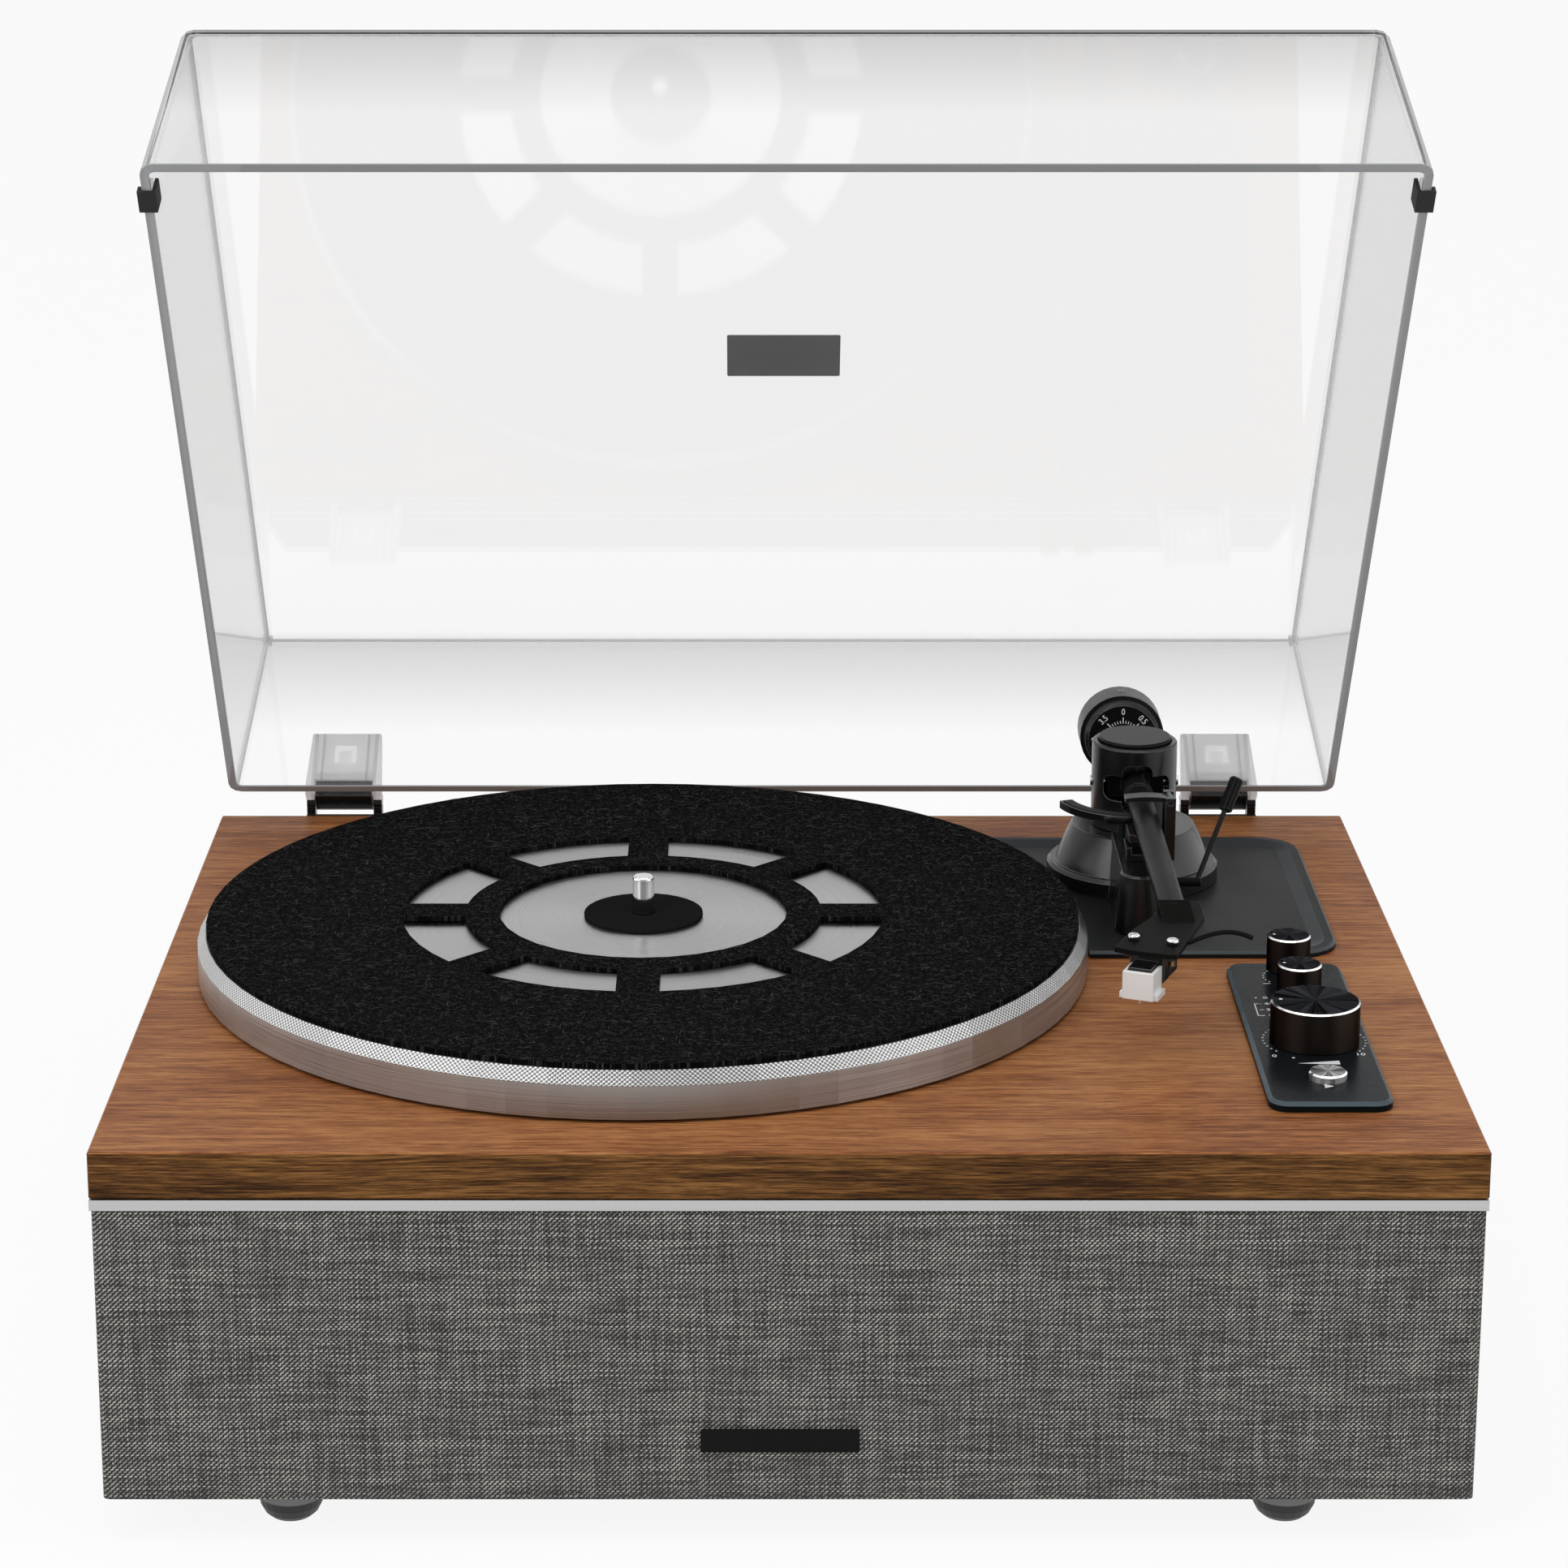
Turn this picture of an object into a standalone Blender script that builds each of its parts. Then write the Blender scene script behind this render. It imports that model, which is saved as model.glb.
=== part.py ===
"""All-in-one record player: a walnut deck on a cloth-fronted cabinet, with a belt-driven platter,
a gimballed tonearm, a control plate, built-in speakers and a clear hinged lid.

Lengths are in metres. Places are given from the middle of the deck's front top edge: x to the
right, y to the back and z up. The empty named player carries them all.
"""
import math

import bmesh
import bpy
from mathutils import Matrix, Vector

# General
SEAT = 0.0003           # gap between pieces that rest on or in each other
OVERRUN = 0.002         # how far a cutter passes the face it opens
WELD = 0.00001          # distance at which doubled points are joined
FINE = 72               # facets round the platter
ROUND = 32              # facets round knobs and other visible turned pieces
MIDDLE = 24             # facets round smaller visible pieces
COARSE = 16             # facets round small or hidden pieces
SHARP = math.radians(32)

# Cabinet
CABINET_W = 0.420
CABINET_D = 0.338
DECK_T = 0.015
DECK_EDGE = 0.0005
TRIM_H = 0.0037
TRIM_BAR = 0.012
CLOTH_H = 0.0945
CLOTH_T = 0.0008
CLOTH_INSET = 0.0015
BOARD_T = 0.012
REAR_T = 0.009
REAR_INSET = 0.001

# Feet
FOOT_SIDE = 0.0559
FOOT_X = CABINET_W / 2 - FOOT_SIDE
FOOT_INSET = 0.0200
FOOT_R = 0.0104
FOOT_COLLAR_H = 0.0067
FOOT_DOME_R = 0.0101
FOOT_TREAD_R = 0.0045
FOOT_H = 0.0145

# Speakers
SPEAKER_SIDE = 0.085
SPEAKER_X = CABINET_W / 2 - SPEAKER_SIDE
SPEAKER_R = 0.041
SPEAKER_HOLE_R = 0.036
SPEAKER_LIP_T = 0.003
SPEAKER_DEPTH = 0.042
MAGNET_R = 0.026
MAGNET_H = 0.016
CONE_R = 0.0335
CONE_T = 0.0012
CONE_DEPTH = 0.012
DUST_CAP_R = 0.011
DUST_CAP_RISE = 0.004

# Platter and its drive
PLATTER_SIDE = 0.2576    # from the cabinet's right side, as for the pieces below
PLATTER_BACK = 0.1652    # from the cabinet's back, as for the arm and its pan
PLATTER_X = CABINET_W / 2 - PLATTER_SIDE
PLATTER_Y = CABINET_D - PLATTER_BACK
PLATTER_R = 0.1494
PLATTER_LIFT = 0.0012
PLATTER_BAND_H = 0.0110
PLATTER_BEVEL_H = 0.0041
PLATTER_BEVEL_IN = 0.0027
PLATTER_WEB = 0.004
PLATTER_RIM = 0.004
BELT_RING_R = 0.062
BELT_RING_T = 0.003
BELT_RING_LIFT = 0.0045
HUB_R = 0.012
HUB_LIFT = 0.004
SPINDLE_R = 0.0036
SPINDLE_TIP = 0.0143
SPINDLE_TIP_ROUND = 0.0012
MAT_T = 0.0016
MAT_IN = 0.0003
MAT_HOLE_R = 0.0485
MAT_WINDOW_IN_R = 0.060
MAT_WINDOW_OUT_R = 0.081
MAT_WINDOWS = 8
MAT_SPOKE = 0.014
HUB_DISC_R = 0.020
HUB_DISC_T = 0.0010
BEARING_R = 0.010
BEARING_FLANGE_R = 0.022
BEARING_FLANGE_T = 0.003
BEARING_TOP = 0.0034
BEARING_DEPTH = 0.045
BEARING_FLOOR = 0.004
MOTOR_REACH = 0.112
MOTOR_ANGLE = math.radians(40)
MOTOR_R = 0.018
MOTOR_H = 0.024
MOTOR_SHAFT_R = 0.0015
MOTOR_SHAFT_L = 0.014
PULLEY_R = 0.006
PULLEY_FLANGE = 0.0018
PULLEY_FLANGE_T = 0.0008
BELT_T = 0.0008
BELT_H = 0.0036
BELT_LIFT = 0.0062

# Arm pan, the shallow tray that the tonearm stands in
PAN_W = 0.1265
PAN_L = 0.1290
PAN_SIDE_GAP = 0.0215
PAN_BACK_GAP = 0.0335
PAN_RIGHT = CABINET_W / 2 - PAN_SIDE_GAP
PAN_LEFT = PAN_RIGHT - PAN_W
PAN_BACK = CABINET_D - PAN_BACK_GAP
PAN_FRONT = PAN_BACK - PAN_L
PAN_CORNER = 0.015
PAN_H = 0.0012
PAN_CHAMFER = 0.0010
PAN_RIM = 0.0028
PAN_SLOPE = 0.0045
PAN_SINK = 0.0017
PAN_PLATTER_GAP = 0.0016

# Arm base
PIVOT_SIDE = 0.0848
PIVOT_BACK = 0.0730
PIVOT_X = CABINET_W / 2 - PIVOT_SIDE
PIVOT_Y = CABINET_D - PIVOT_BACK
FLANGE_R = 0.0305
FLANGE_H = 0.0061
FLANGE_ROUND = 0.0012
CONE_FOOT_R = 0.0276
CONE_TOP_R = 0.0222
CONE_H = 0.0133
LIFT_POST_X = -0.0026
LIFT_POST_Y = -0.0613
LIFT_POST_R = 0.0087
LIFT_POST_TOP_R = 0.0070
LIFT_WEB_BACK = -0.0145
LIFT_WEB_RISE = 0.0013
LIFT_WEB_GAP = 0.0012
LEVER_BOSS_X = 0.0050
LEVER_BOSS_D = 0.0090
LEVER_BOSS_TOP = 0.0135
BEARING_PIN_R = 0.0035
BEARING_PIN_L = 0.0042

# Turret, the turning column of the arm
TURRET_R = 0.0151
TURRET_WALL = 0.0018
TURRET_H = 0.0304
TURRET_FLOOR = 0.0045
CAP_R = 0.0130
CAP_RISE = 0.0012
CAP_PLUG_L = 0.0030
WINDOW_RISE = 0.0008
WINDOW_W = 0.0233
WINDOW_H = 0.0092
WINDOW_MID_W = 0.0108
WINDOW_MID_H = 0.0174
WINDOW_ROUND = 0.0030
PIVOT_SCREW_R = 0.0018
PIVOT_SCREW_HEAD = 0.0006
PIVOT_CONE_L = 0.0016
PIVOT_CONE_R = 0.0014

# Arm; ARM_Z is the height of its pivot above the deck
ARM_Z = 0.0360
ARM_TUBE_R = 0.0044
ARM_COLLAR_R = 0.0052
ARM_COLLAR_FRONT = 0.0205
ARM_BLOCK_W = 0.0200
ARM_BLOCK_L = 0.0120
ARM_BLOCK_H = 0.0090
ARM_REACH = 0.1478
STUB_R = 0.0036
STUB_REACH = 0.0600
STUB_RISE = 0.0015
WEIGHT_R = 0.0154
WEIGHT_FRONT = 0.0460
WEIGHT_L = 0.0142
WEIGHT_EDGE = 0.0010
DIAL_R = 0.0137
DIAL_L = 0.0045
DIAL_FACE_R = 0.0126
DIAL_HUB_R = 0.0062
DIAL_DISH = 0.0012

# Headshell and cartridge, in a frame at the middle of the two screws that looks out along the head
HEAD_X = -0.00935
HEAD_BEYOND = 0.02995
HEAD_Y = -ARM_REACH - HEAD_BEYOND
HEAD_ANGLE = math.radians(22)
HEAD_W = 0.0212
HEAD_NOSE = 0.0086
HEAD_NECK = 0.0440
HEAD_T = 0.0018
HEAD_EDGE = 0.0004
HEAD_BOW = 0.0012
PLUG_R = 0.0038
PLUG_L = 0.0050
PLUG_OUT = 0.0022
SCREW_SPACING = 0.0127
SCREW_R = 0.0018
SCREW_SHANK_R = 0.0012
SCREW_HEAD_H = 0.0018
SCREW_L = 0.0070
LIFT_R = 0.0008
LIFT_OUT = 0.0178
LIFT_BACK = 0.0120
LIFT_RISE = 0.0020
CARTRIDGE_W = 0.0158
CARTRIDGE_L = 0.0170
CARTRIDGE_H = 0.0070
CARTRIDGE_EAR_T = 0.0022
CARTRIDGE_NOSE_W = 0.0074
CARTRIDGE_NOSE_L = 0.0080
CARTRIDGE_NOSE_H = 0.0032
STYLUS_W = 0.0102
STYLUS_L = 0.0094
STYLUS_H = 0.0092
STYLUS_SKIRT = 0.0012
STYLUS_SKIRT_H = 0.0018
STYLUS_WALL = 0.0012
STYLUS_FRONT = 0.0160
STYLUS_DROP = 0.0020
TIP_R = 0.00035
TIP_L = 0.0030
TIP_H = 0.0021
TIP_HEIGHT = 0.0200

# Cue lift, arm rest and arm clip
CUE_IN_R = 0.0232
CUE_OUT_R = 0.0282
CUE_T = 0.0028
CUE_GAP = 0.0007
CUE_FROM = math.radians(-84)
CUE_TO = math.radians(-163)
CUE_ROD_R = 0.0018
CUE_ROD_ANGLE = math.radians(-103)
CUE_TRAVEL = 0.004
LEVER_Y = -0.0357
LEVER_Z = 0.0096
LEVER_SHAFT_R = 0.0016
LEVER_SHAFT_FROM = 0.0015
LEVER_SHAFT_TO = 0.0210
LEVER_ROD_R = 0.0009
LEVER_LEAN_X = 0.0155
LEVER_LEAN_Y = 0.0190
LEVER_RISE = 0.0320
LEVER_GRIP_R = 0.0025
LEVER_GRIP_L = 0.0125
REST_GAP = 0.0008
REST_FRONT = 0.0500
REST_D = 0.0110
REST_X = 0.0083
REST_W = 0.0036
REST_FOOT_LEFT = -0.0067
REST_FOOT_T = 0.0020
REST_STOP_H = 0.0045
REST_STOP_W = 0.0020
REST_LEDGE_L = 0.0160
REST_LEDGE_T = 0.0022
REST_LIP = 0.0005
CLIP_CLEAR = 0.0019
CLIP_T = 0.0013
CLIP_D = 0.0052
CLIP_REACH = 0.0155
CLIP_KNUCKLE_R = 0.0015
CLIP_PIN_R = 0.0008
CLIP_LIP = 0.0002

# Control plate, knobs and button
PLATE_SIDE = 0.0432
PLATE_X = CABINET_W / 2 - PLATE_SIDE
PLATE_Y = 0.0975
PLATE_W = 0.0384
PLATE_L = 0.1300
PLATE_H = 0.0030
PLATE_CORNER = 0.0060
PLATE_CHAMFER = 0.0012
KNOB_SIDE = 0.0421
KNOB_X = CABINET_W / 2 - KNOB_SIDE
TONE_Y = 0.1558
SPEED_Y = 0.1270
VOLUME_Y = 0.0872
START_Y = 0.0540
VOLUME_R = 0.0143
VOLUME_H = 0.0134
SMALL_KNOB_R = 0.0073
SMALL_KNOB_H = 0.0118
KNOB_CHAMFER = 0.0005
STEM_R = 0.0030
STEM_L = 0.0235
POT_R = 0.0085
POT_H = 0.0080
START_R = 0.0060
START_RISE = 0.0024
START_SUNK = 0.0016
START_STEM_R = 0.0022
BOARD_PLATE_T = 0.0016
BOARD_PLATE_EDGE = 0.004

# Amplifier board and sockets
AMP_W = 0.120
AMP_L = 0.070
AMP_X = -0.020
AMP_BACK = 0.083
AMP_Y = CABINET_D - AMP_BACK
AMP_POST_R = 0.003
AMP_POST_H = 0.006
AMP_SINK_W = 0.050
AMP_SINK_L = 0.008
AMP_SINK_H = 0.022
AMP_CAN_R = 0.008
AMP_CAN_H = 0.020
SOCKET_Z = -0.070
RCA_R = 0.0041
RCA_BORE_R = 0.0018
RCA_NUT_R = 0.0062
RCA_NUT_T = 0.0016
RCA_OUT = 0.0085
RCA_SIDE = 0.090
RCA_X = CABINET_W / 2 - RCA_SIDE
RCA_SPACING = 0.014
INLET_SIDE = 0.070
INLET_X = INLET_SIDE - CABINET_W / 2
INLET_R = 0.0055
INLET_BORE_R = 0.0028
INLET_PIN_R = 0.0010
SOCKET_BODY_L = 0.010

# Lid, drawn closed and turned open on its hinge
HINGE_SIDE = 0.0457
HINGE_X = CABINET_W / 2 - HINGE_SIDE
HINGE_BACK = 0.0060
HINGE_Z = 0.0035
LID_OPEN = math.radians(56.2)
LID_SIDE = 0.0032
LID_FRONT = 0.0190
LID_BACK = 0.0030
LID_W = CABINET_W - 2 * LID_SIDE
LID_D = CABINET_D - LID_FRONT - LID_BACK
LID_H = 0.0756
LID_T = 0.003
LID_ROUND = 0.0045
LID_DRAFT = 0.0064
LID_RIM_Z = 0.0012
BUMPER_L = 0.0090
BUMPER_H = 0.0066
BUMPER_OUT_H = 0.0026
BUMPER_T = 0.0012
BUMPER_INSET = 0.011
POCKET_W = 0.0288
POCKET_TOP_SHARE = 0.90
POCKET_H = 0.0275
POCKET_T = 0.0056
POCKET_WALL = 0.0012
POCKET_LEG_W = 0.0033
POCKET_NOTCH_W = 0.0078
POCKET_NOTCH_H = 0.0055
POCKET_NOTCH_DOWN = 0.0060
POCKET_EAR_GAP = 0.0008
KNUCKLE_R = 0.0030
KNUCKLE_W = 0.0212
TONGUE_T = 0.0026
TONGUE_IN = 0.0040
TONGUE_NECK_TOP = 0.0062
TONGUE_NECK_LOW = 0.0006
HINGE_PIN_R = 0.0012
HINGE_PLATE_T = 0.0024
HINGE_PLATE_H = 0.030
HINGE_EAR_W = 0.0032

# Worked-out levels and places
TRIM_TOP = -DECK_T - SEAT
TRIM_LOW = TRIM_TOP - TRIM_H + SEAT
SHELL_TOP = TRIM_LOW - SEAT
SHELL_LOW = SHELL_TOP - CLOTH_H
FLOOR_Z = SHELL_LOW - FOOT_H
SHELL_IN = CLOTH_INSET + CLOTH_T + SEAT
SHELL_W = CABINET_W - 2 * SHELL_IN
BAFFLE_BACK = SHELL_IN + BOARD_T
REAR_FACE = CABINET_D - REAR_INSET
REAR_IN = REAR_FACE - REAR_T
INSIDE_W = SHELL_W - 2 * BOARD_T
BASE_TOP = SHELL_LOW + BOARD_T
SHAFT_BORE = SPINDLE_R + SEAT
PLATTER_SHOULDER = PLATTER_LIFT + PLATTER_BAND_H
PLATTER_TOP = PLATTER_SHOULDER + PLATTER_BEVEL_H
WEB_LOW = PLATTER_TOP - PLATTER_WEB
MAT_LOW = PLATTER_TOP + SEAT
MAT_TOP = MAT_LOW + MAT_T
MOTOR_X = PLATTER_X + MOTOR_REACH * math.cos(MOTOR_ANGLE)
MOTOR_Y = PLATTER_Y + MOTOR_REACH * math.sin(MOTOR_ANGLE)
PAN_FLOOR = SEAT + PAN_H + PAN_CHAMFER - PAN_SINK
BASE_LOW = PAN_FLOOR + SEAT
FLANGE_TOP = BASE_LOW + FLANGE_H
CONE_TOP = FLANGE_TOP + CONE_H
WEB_TOP = CONE_TOP + LIFT_WEB_RISE
TURRET_LOW = CONE_TOP + SEAT
TURRET_TOP = TURRET_LOW + TURRET_H
TUBE_TOP = ARM_Z + ARM_TUBE_R
TUBE_LOW = ARM_Z - ARM_TUBE_R
CUE_TOP = TUBE_LOW - CUE_GAP
CUE_R = (CUE_IN_R + CUE_OUT_R) / 2
WEIGHT_Z = ARM_Z + STUB_RISE
REST_LEDGE_TOP = TUBE_LOW - REST_GAP
CLIP_LOW = TUBE_TOP + CLIP_CLEAR
REST_BACK = REST_FRONT - REST_D
REST_MID = (REST_FRONT + REST_BACK) / 2
CLIP_AXIS_Z = CLIP_LOW + CLIP_T / 2
PLATE_TOP = SEAT + PLATE_H
POT_TOP = -DECK_T - SEAT
STEM_LOW = PLATE_TOP - STEM_L
HEAD_TOP = ARM_Z + SEAT
HEAD_LOW = HEAD_TOP - HEAD_T
HINGE_Y = CABINET_D + HINGE_BACK
LID_BACK_Y = CABINET_D - LID_BACK
LID_FRONT_Y = LID_BACK_Y - LID_D
LID_TOP_Z = LID_RIM_Z + LID_H

# The lid's rear edge, open, is the rearmost point; the origin is the middle of the whole footprint
LID_EDGE_Y = LID_BACK_Y - LID_ROUND - HINGE_Y
LID_EDGE_Z = LID_TOP_Z - LID_ROUND - HINGE_Z
REACH_Y = HINGE_Y + LID_EDGE_Y * math.cos(LID_OPEN) + LID_EDGE_Z * math.sin(LID_OPEN) + LID_ROUND


def clear_scene():
    for obj in list(bpy.data.objects):
        bpy.data.objects.remove(obj)


def new_collection(name):
    collection = bpy.data.collections.new(name)
    bpy.context.scene.collection.children.link(collection)
    return collection


def finish(name, colour, roughness, metallic=0.0, alpha=1.0):
    mat = bpy.data.materials.new(name)
    mat.use_nodes = True
    shader = mat.node_tree.nodes["Principled BSDF"]
    shader.inputs["Base Color"].default_value = (*colour, 1)
    shader.inputs["Roughness"].default_value = roughness
    shader.inputs["Metallic"].default_value = metallic
    shader.inputs["Alpha"].default_value = alpha
    mat.diffuse_color = (*colour, alpha)
    return mat


clear_scene()
PARTS = new_collection("record_player")
CUTTERS = new_collection("cutters")

WALNUT = finish("walnut veneer", (0.33, 0.16, 0.07), 0.45)
MDF = finish("black mdf", (0.03, 0.03, 0.03), 0.7)
SILVER = finish("brushed aluminium", (0.72, 0.72, 0.72), 0.3, 1)
CLOTH = finish("grey cloth", (0.16, 0.16, 0.155), 0.95)
RUBBER = finish("black rubber", (0.02, 0.02, 0.02), 0.85)
SATIN = finish("black satin plastic", (0.025, 0.025, 0.025), 0.4)
GLOSS = finish("black gloss plastic", (0.01, 0.01, 0.01), 0.12)
ANODISED = finish("black anodised aluminium", (0.03, 0.03, 0.032), 0.3, 0.6)
FELT = finish("black felt", (0.012, 0.012, 0.012), 1)
CHROME = finish("chrome", (0.85, 0.85, 0.85), 0.08, 1)
STEEL = finish("steel", (0.5, 0.5, 0.5), 0.35, 1)
BRASS = finish("brass", (0.75, 0.55, 0.25), 0.3, 1)
PAPER = finish("speaker paper", (0.05, 0.05, 0.05), 0.9)
BOARD = finish("circuit board", (0.02, 0.13, 0.05), 0.5)
WHITE = finish("pale grey plastic", (0.75, 0.76, 0.77), 0.4)
RED = finish("red plastic", (0.6, 0.03, 0.03), 0.4)
CLEAR = finish("clear acrylic", (0.9, 0.92, 0.93), 0.05, 0, 0.25)
FROSTED = finish("translucent plastic", (0.7, 0.7, 0.7), 0.3, 0, 0.5)


def empty(name, place, parent=None, turn=(0, 0, 0)):
    axis = bpy.data.objects.new(name, None)
    axis.location = place
    axis.rotation_euler = turn
    axis.parent = parent
    axis.empty_display_size = KNOB_CHAMFER
    PARTS.objects.link(axis)
    return axis


def put(name, mesh, mat, parent, place=(0, 0, 0), turn=(0, 0, 0), smooth=False):
    """A named sub-part, or a cutter or joined form where mat is None."""
    obj = bpy.data.objects.new(name, mesh)
    obj.location = place
    obj.rotation_euler = turn
    obj.parent = parent
    if mat is None:
        CUTTERS.objects.link(obj)
        obj.hide_render = True
        obj.display_type = "WIRE"
    else:
        PARTS.objects.link(obj)
        mesh.materials.clear()
        mesh.materials.append(mat)
    if smooth:
        mesh.shade_smooth()
        mesh.set_sharp_from_angle(angle=SHARP)
    return obj


def block(name, low, high, mat, parent, edge=0.0, segments=1):
    """A box between two corners, with its edges rounded by edge."""
    mesh = bpy.data.meshes.new(name)
    bm = bmesh.new()
    bmesh.ops.create_cube(bm, size=1)
    low, high = Vector(low), Vector(high)
    bmesh.ops.scale(bm, vec=high - low, verts=bm.verts)
    bmesh.ops.translate(bm, vec=(low + high) / 2, verts=bm.verts)
    bm.to_mesh(mesh)
    bm.free()
    obj = put(name, mesh, mat, parent)
    if edge:
        soften(obj, edge, segments)
    return obj


def soften(obj, width, segments=1, angle=math.radians(40)):
    bevel = obj.modifiers.new("edges", "BEVEL")
    bevel.width = width
    bevel.segments = segments
    bevel.limit_method = "ANGLE"
    bevel.angle_limit = angle
    return bevel


def turned(name, profile, mat, parent, place=(0, 0, 0), turn=(0, 0, 0), steps=ROUND, ring=False):
    """A profile of (radius, height) pairs, outer side downwards, turned about Z."""
    mesh = bpy.data.meshes.new(name)
    bm = bmesh.new()
    verts = [bm.verts.new((r, 0, z)) for r, z in profile]
    for first, second in zip(verts, verts[1:]):
        bm.edges.new((first, second))
    if ring:
        bm.edges.new((verts[-1], verts[0]))
    bm.to_mesh(mesh)
    bm.free()
    obj = put(name, mesh, mat, parent, place, turn)
    screw = obj.modifiers.new("turn", "SCREW")
    screw.steps = steps
    screw.render_steps = steps
    screw.use_merge_vertices = True
    screw.merge_threshold = WELD
    screw.use_smooth_shade = True
    return obj


def cylinder(name, radius, low, high, mat, parent, place=(0, 0, 0), turn=(0, 0, 0), steps=COARSE):
    return turned(name, [(0, high), (radius, high), (radius, low), (0, low)],
                  mat, parent, place, turn, steps)


def as_mesh(curve, name):
    """The evaluated mesh of a curve, with its loose caps welded on."""
    guide = bpy.data.objects.new(name, curve)
    PARTS.objects.link(guide)
    graph = bpy.context.evaluated_depsgraph_get()
    mesh = bpy.data.meshes.new_from_object(guide.evaluated_get(graph))
    bpy.data.objects.remove(guide)
    bm = bmesh.new()
    bm.from_mesh(mesh)
    bmesh.ops.remove_doubles(bm, verts=bm.verts, dist=WELD)
    bmesh.ops.recalc_face_normals(bm, faces=bm.faces)
    bm.to_mesh(mesh)
    bm.free()
    mesh.name = name
    return mesh


def sheet(name, outlines, low, high, mat, parent, place=(0, 0, 0), turn=(0, 0, 0)):
    """A flat plate from low to high with the outer outline first and its holes after it."""
    curve = bpy.data.curves.new(name, "CURVE")
    curve.dimensions = "2D"
    curve.fill_mode = "BOTH"
    curve.extrude = (high - low) / 2
    for outline in outlines:
        spline = curve.splines.new("POLY")
        spline.points.add(len(outline) - 1)
        for point, (x, y) in zip(spline.points, outline):
            point.co = (x, y, 0, 1)
        spline.use_cyclic_u = True
    mesh = as_mesh(curve, name)
    mesh.transform(Matrix.Translation((0, 0, (low + high) / 2)))
    return put(name, mesh, mat, parent, place, turn)


def tube(name, points, radius, mat, parent, sides=2):
    curve = bpy.data.curves.new(name, "CURVE")
    curve.dimensions = "3D"
    curve.bevel_depth = radius
    curve.bevel_resolution = sides
    curve.use_fill_caps = True
    spline = curve.splines.new("POLY")
    spline.points.add(len(points) - 1)
    for point, place in zip(spline.points, points):
        point.co = (*place, 1)
    return put(name, as_mesh(curve, name), mat, parent, smooth=True)


def boolean(obj, other, operation):
    mod = obj.modifiers.new(other.name, "BOOLEAN")
    mod.operation = operation
    mod.solver = "EXACT"
    mod.object = other
    return obj


def cut(obj, *others):
    for other in others:
        boolean(obj, other, "DIFFERENCE")
    return obj


def join(obj, *others):
    for other in others:
        boolean(obj, other, "UNION")
    return obj


def arc(radius, start, end, count, centre=(0, 0)):
    """Points on an arc, both ends included."""
    steps = [start + (end - start) * i / (count - 1) for i in range(count)]
    return [(centre[0] + radius * math.cos(a), centre[1] + radius * math.sin(a)) for a in steps]


def circle(radius, count, centre=(0, 0)):
    return arc(radius, 0, math.tau * (count - 1) / count, count, centre)


def round_rect(left, right, front, back, corner, count=5):
    quarter = math.pi / 2
    points = arc(corner, 0, quarter, count, (right - corner, back - corner))
    points += arc(corner, quarter, 2 * quarter, count, (left + corner, back - corner))
    points += arc(corner, 2 * quarter, 3 * quarter, count, (left + corner, front + corner))
    points += arc(corner, 3 * quarter, 4 * quarter, count, (right - corner, front + corner))
    return points


def bore(name, radius, low, high, parent, place=(0, 0, 0), turn=(0, 0, 0), steps=COARSE):
    return cylinder(name, radius, low, high, None, parent, place, turn, steps)


PLAYER = empty("player", (0, -REACH_Y / 2, -FLOOR_Z))
ACROSS = (0, math.pi / 2, 0)
BACKWARD = (-math.pi / 2, 0, 0)


def build_deck():
    deck = block("deck_panel", (-CABINET_W / 2, 0, -DECK_T), (CABINET_W / 2, CABINET_D, 0),
                 WALNUT, PLAYER, DECK_EDGE)
    low, high = -DECK_T - OVERRUN, OVERRUN
    cut(deck, bore("deck_bearing_hole", BEARING_R + SEAT, low, high, PLAYER, (PLATTER_X, PLATTER_Y, 0)))
    cut(deck, bore("deck_pulley_hole", PULLEY_R, low, high, PLAYER, (MOTOR_X, MOTOR_Y, 0)))
    for name, y in (("tone", TONE_Y), ("speed", SPEED_Y), ("volume", VOLUME_Y)):
        cut(deck, bore(f"deck_{name}_hole", STEM_R + 2 * SEAT, low, high, PLAYER, (KNOB_X, y, 0)))
    cut(deck, bore("deck_start_hole", START_R + SEAT, low, high, PLAYER, (KNOB_X, START_Y, 0)))

    trim = block("trim_strip", (-CABINET_W / 2, 0, TRIM_LOW), (CABINET_W / 2, CABINET_D, TRIM_TOP),
                 SILVER, PLAYER)
    inside_x, inside_back = CABINET_W / 2 - TRIM_BAR, CABINET_D - TRIM_BAR
    cut(trim, block("trim_opening", (-inside_x, TRIM_BAR, TRIM_LOW - OVERRUN),
                    (inside_x, inside_back, TRIM_TOP + OVERRUN), None, PLAYER))


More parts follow.
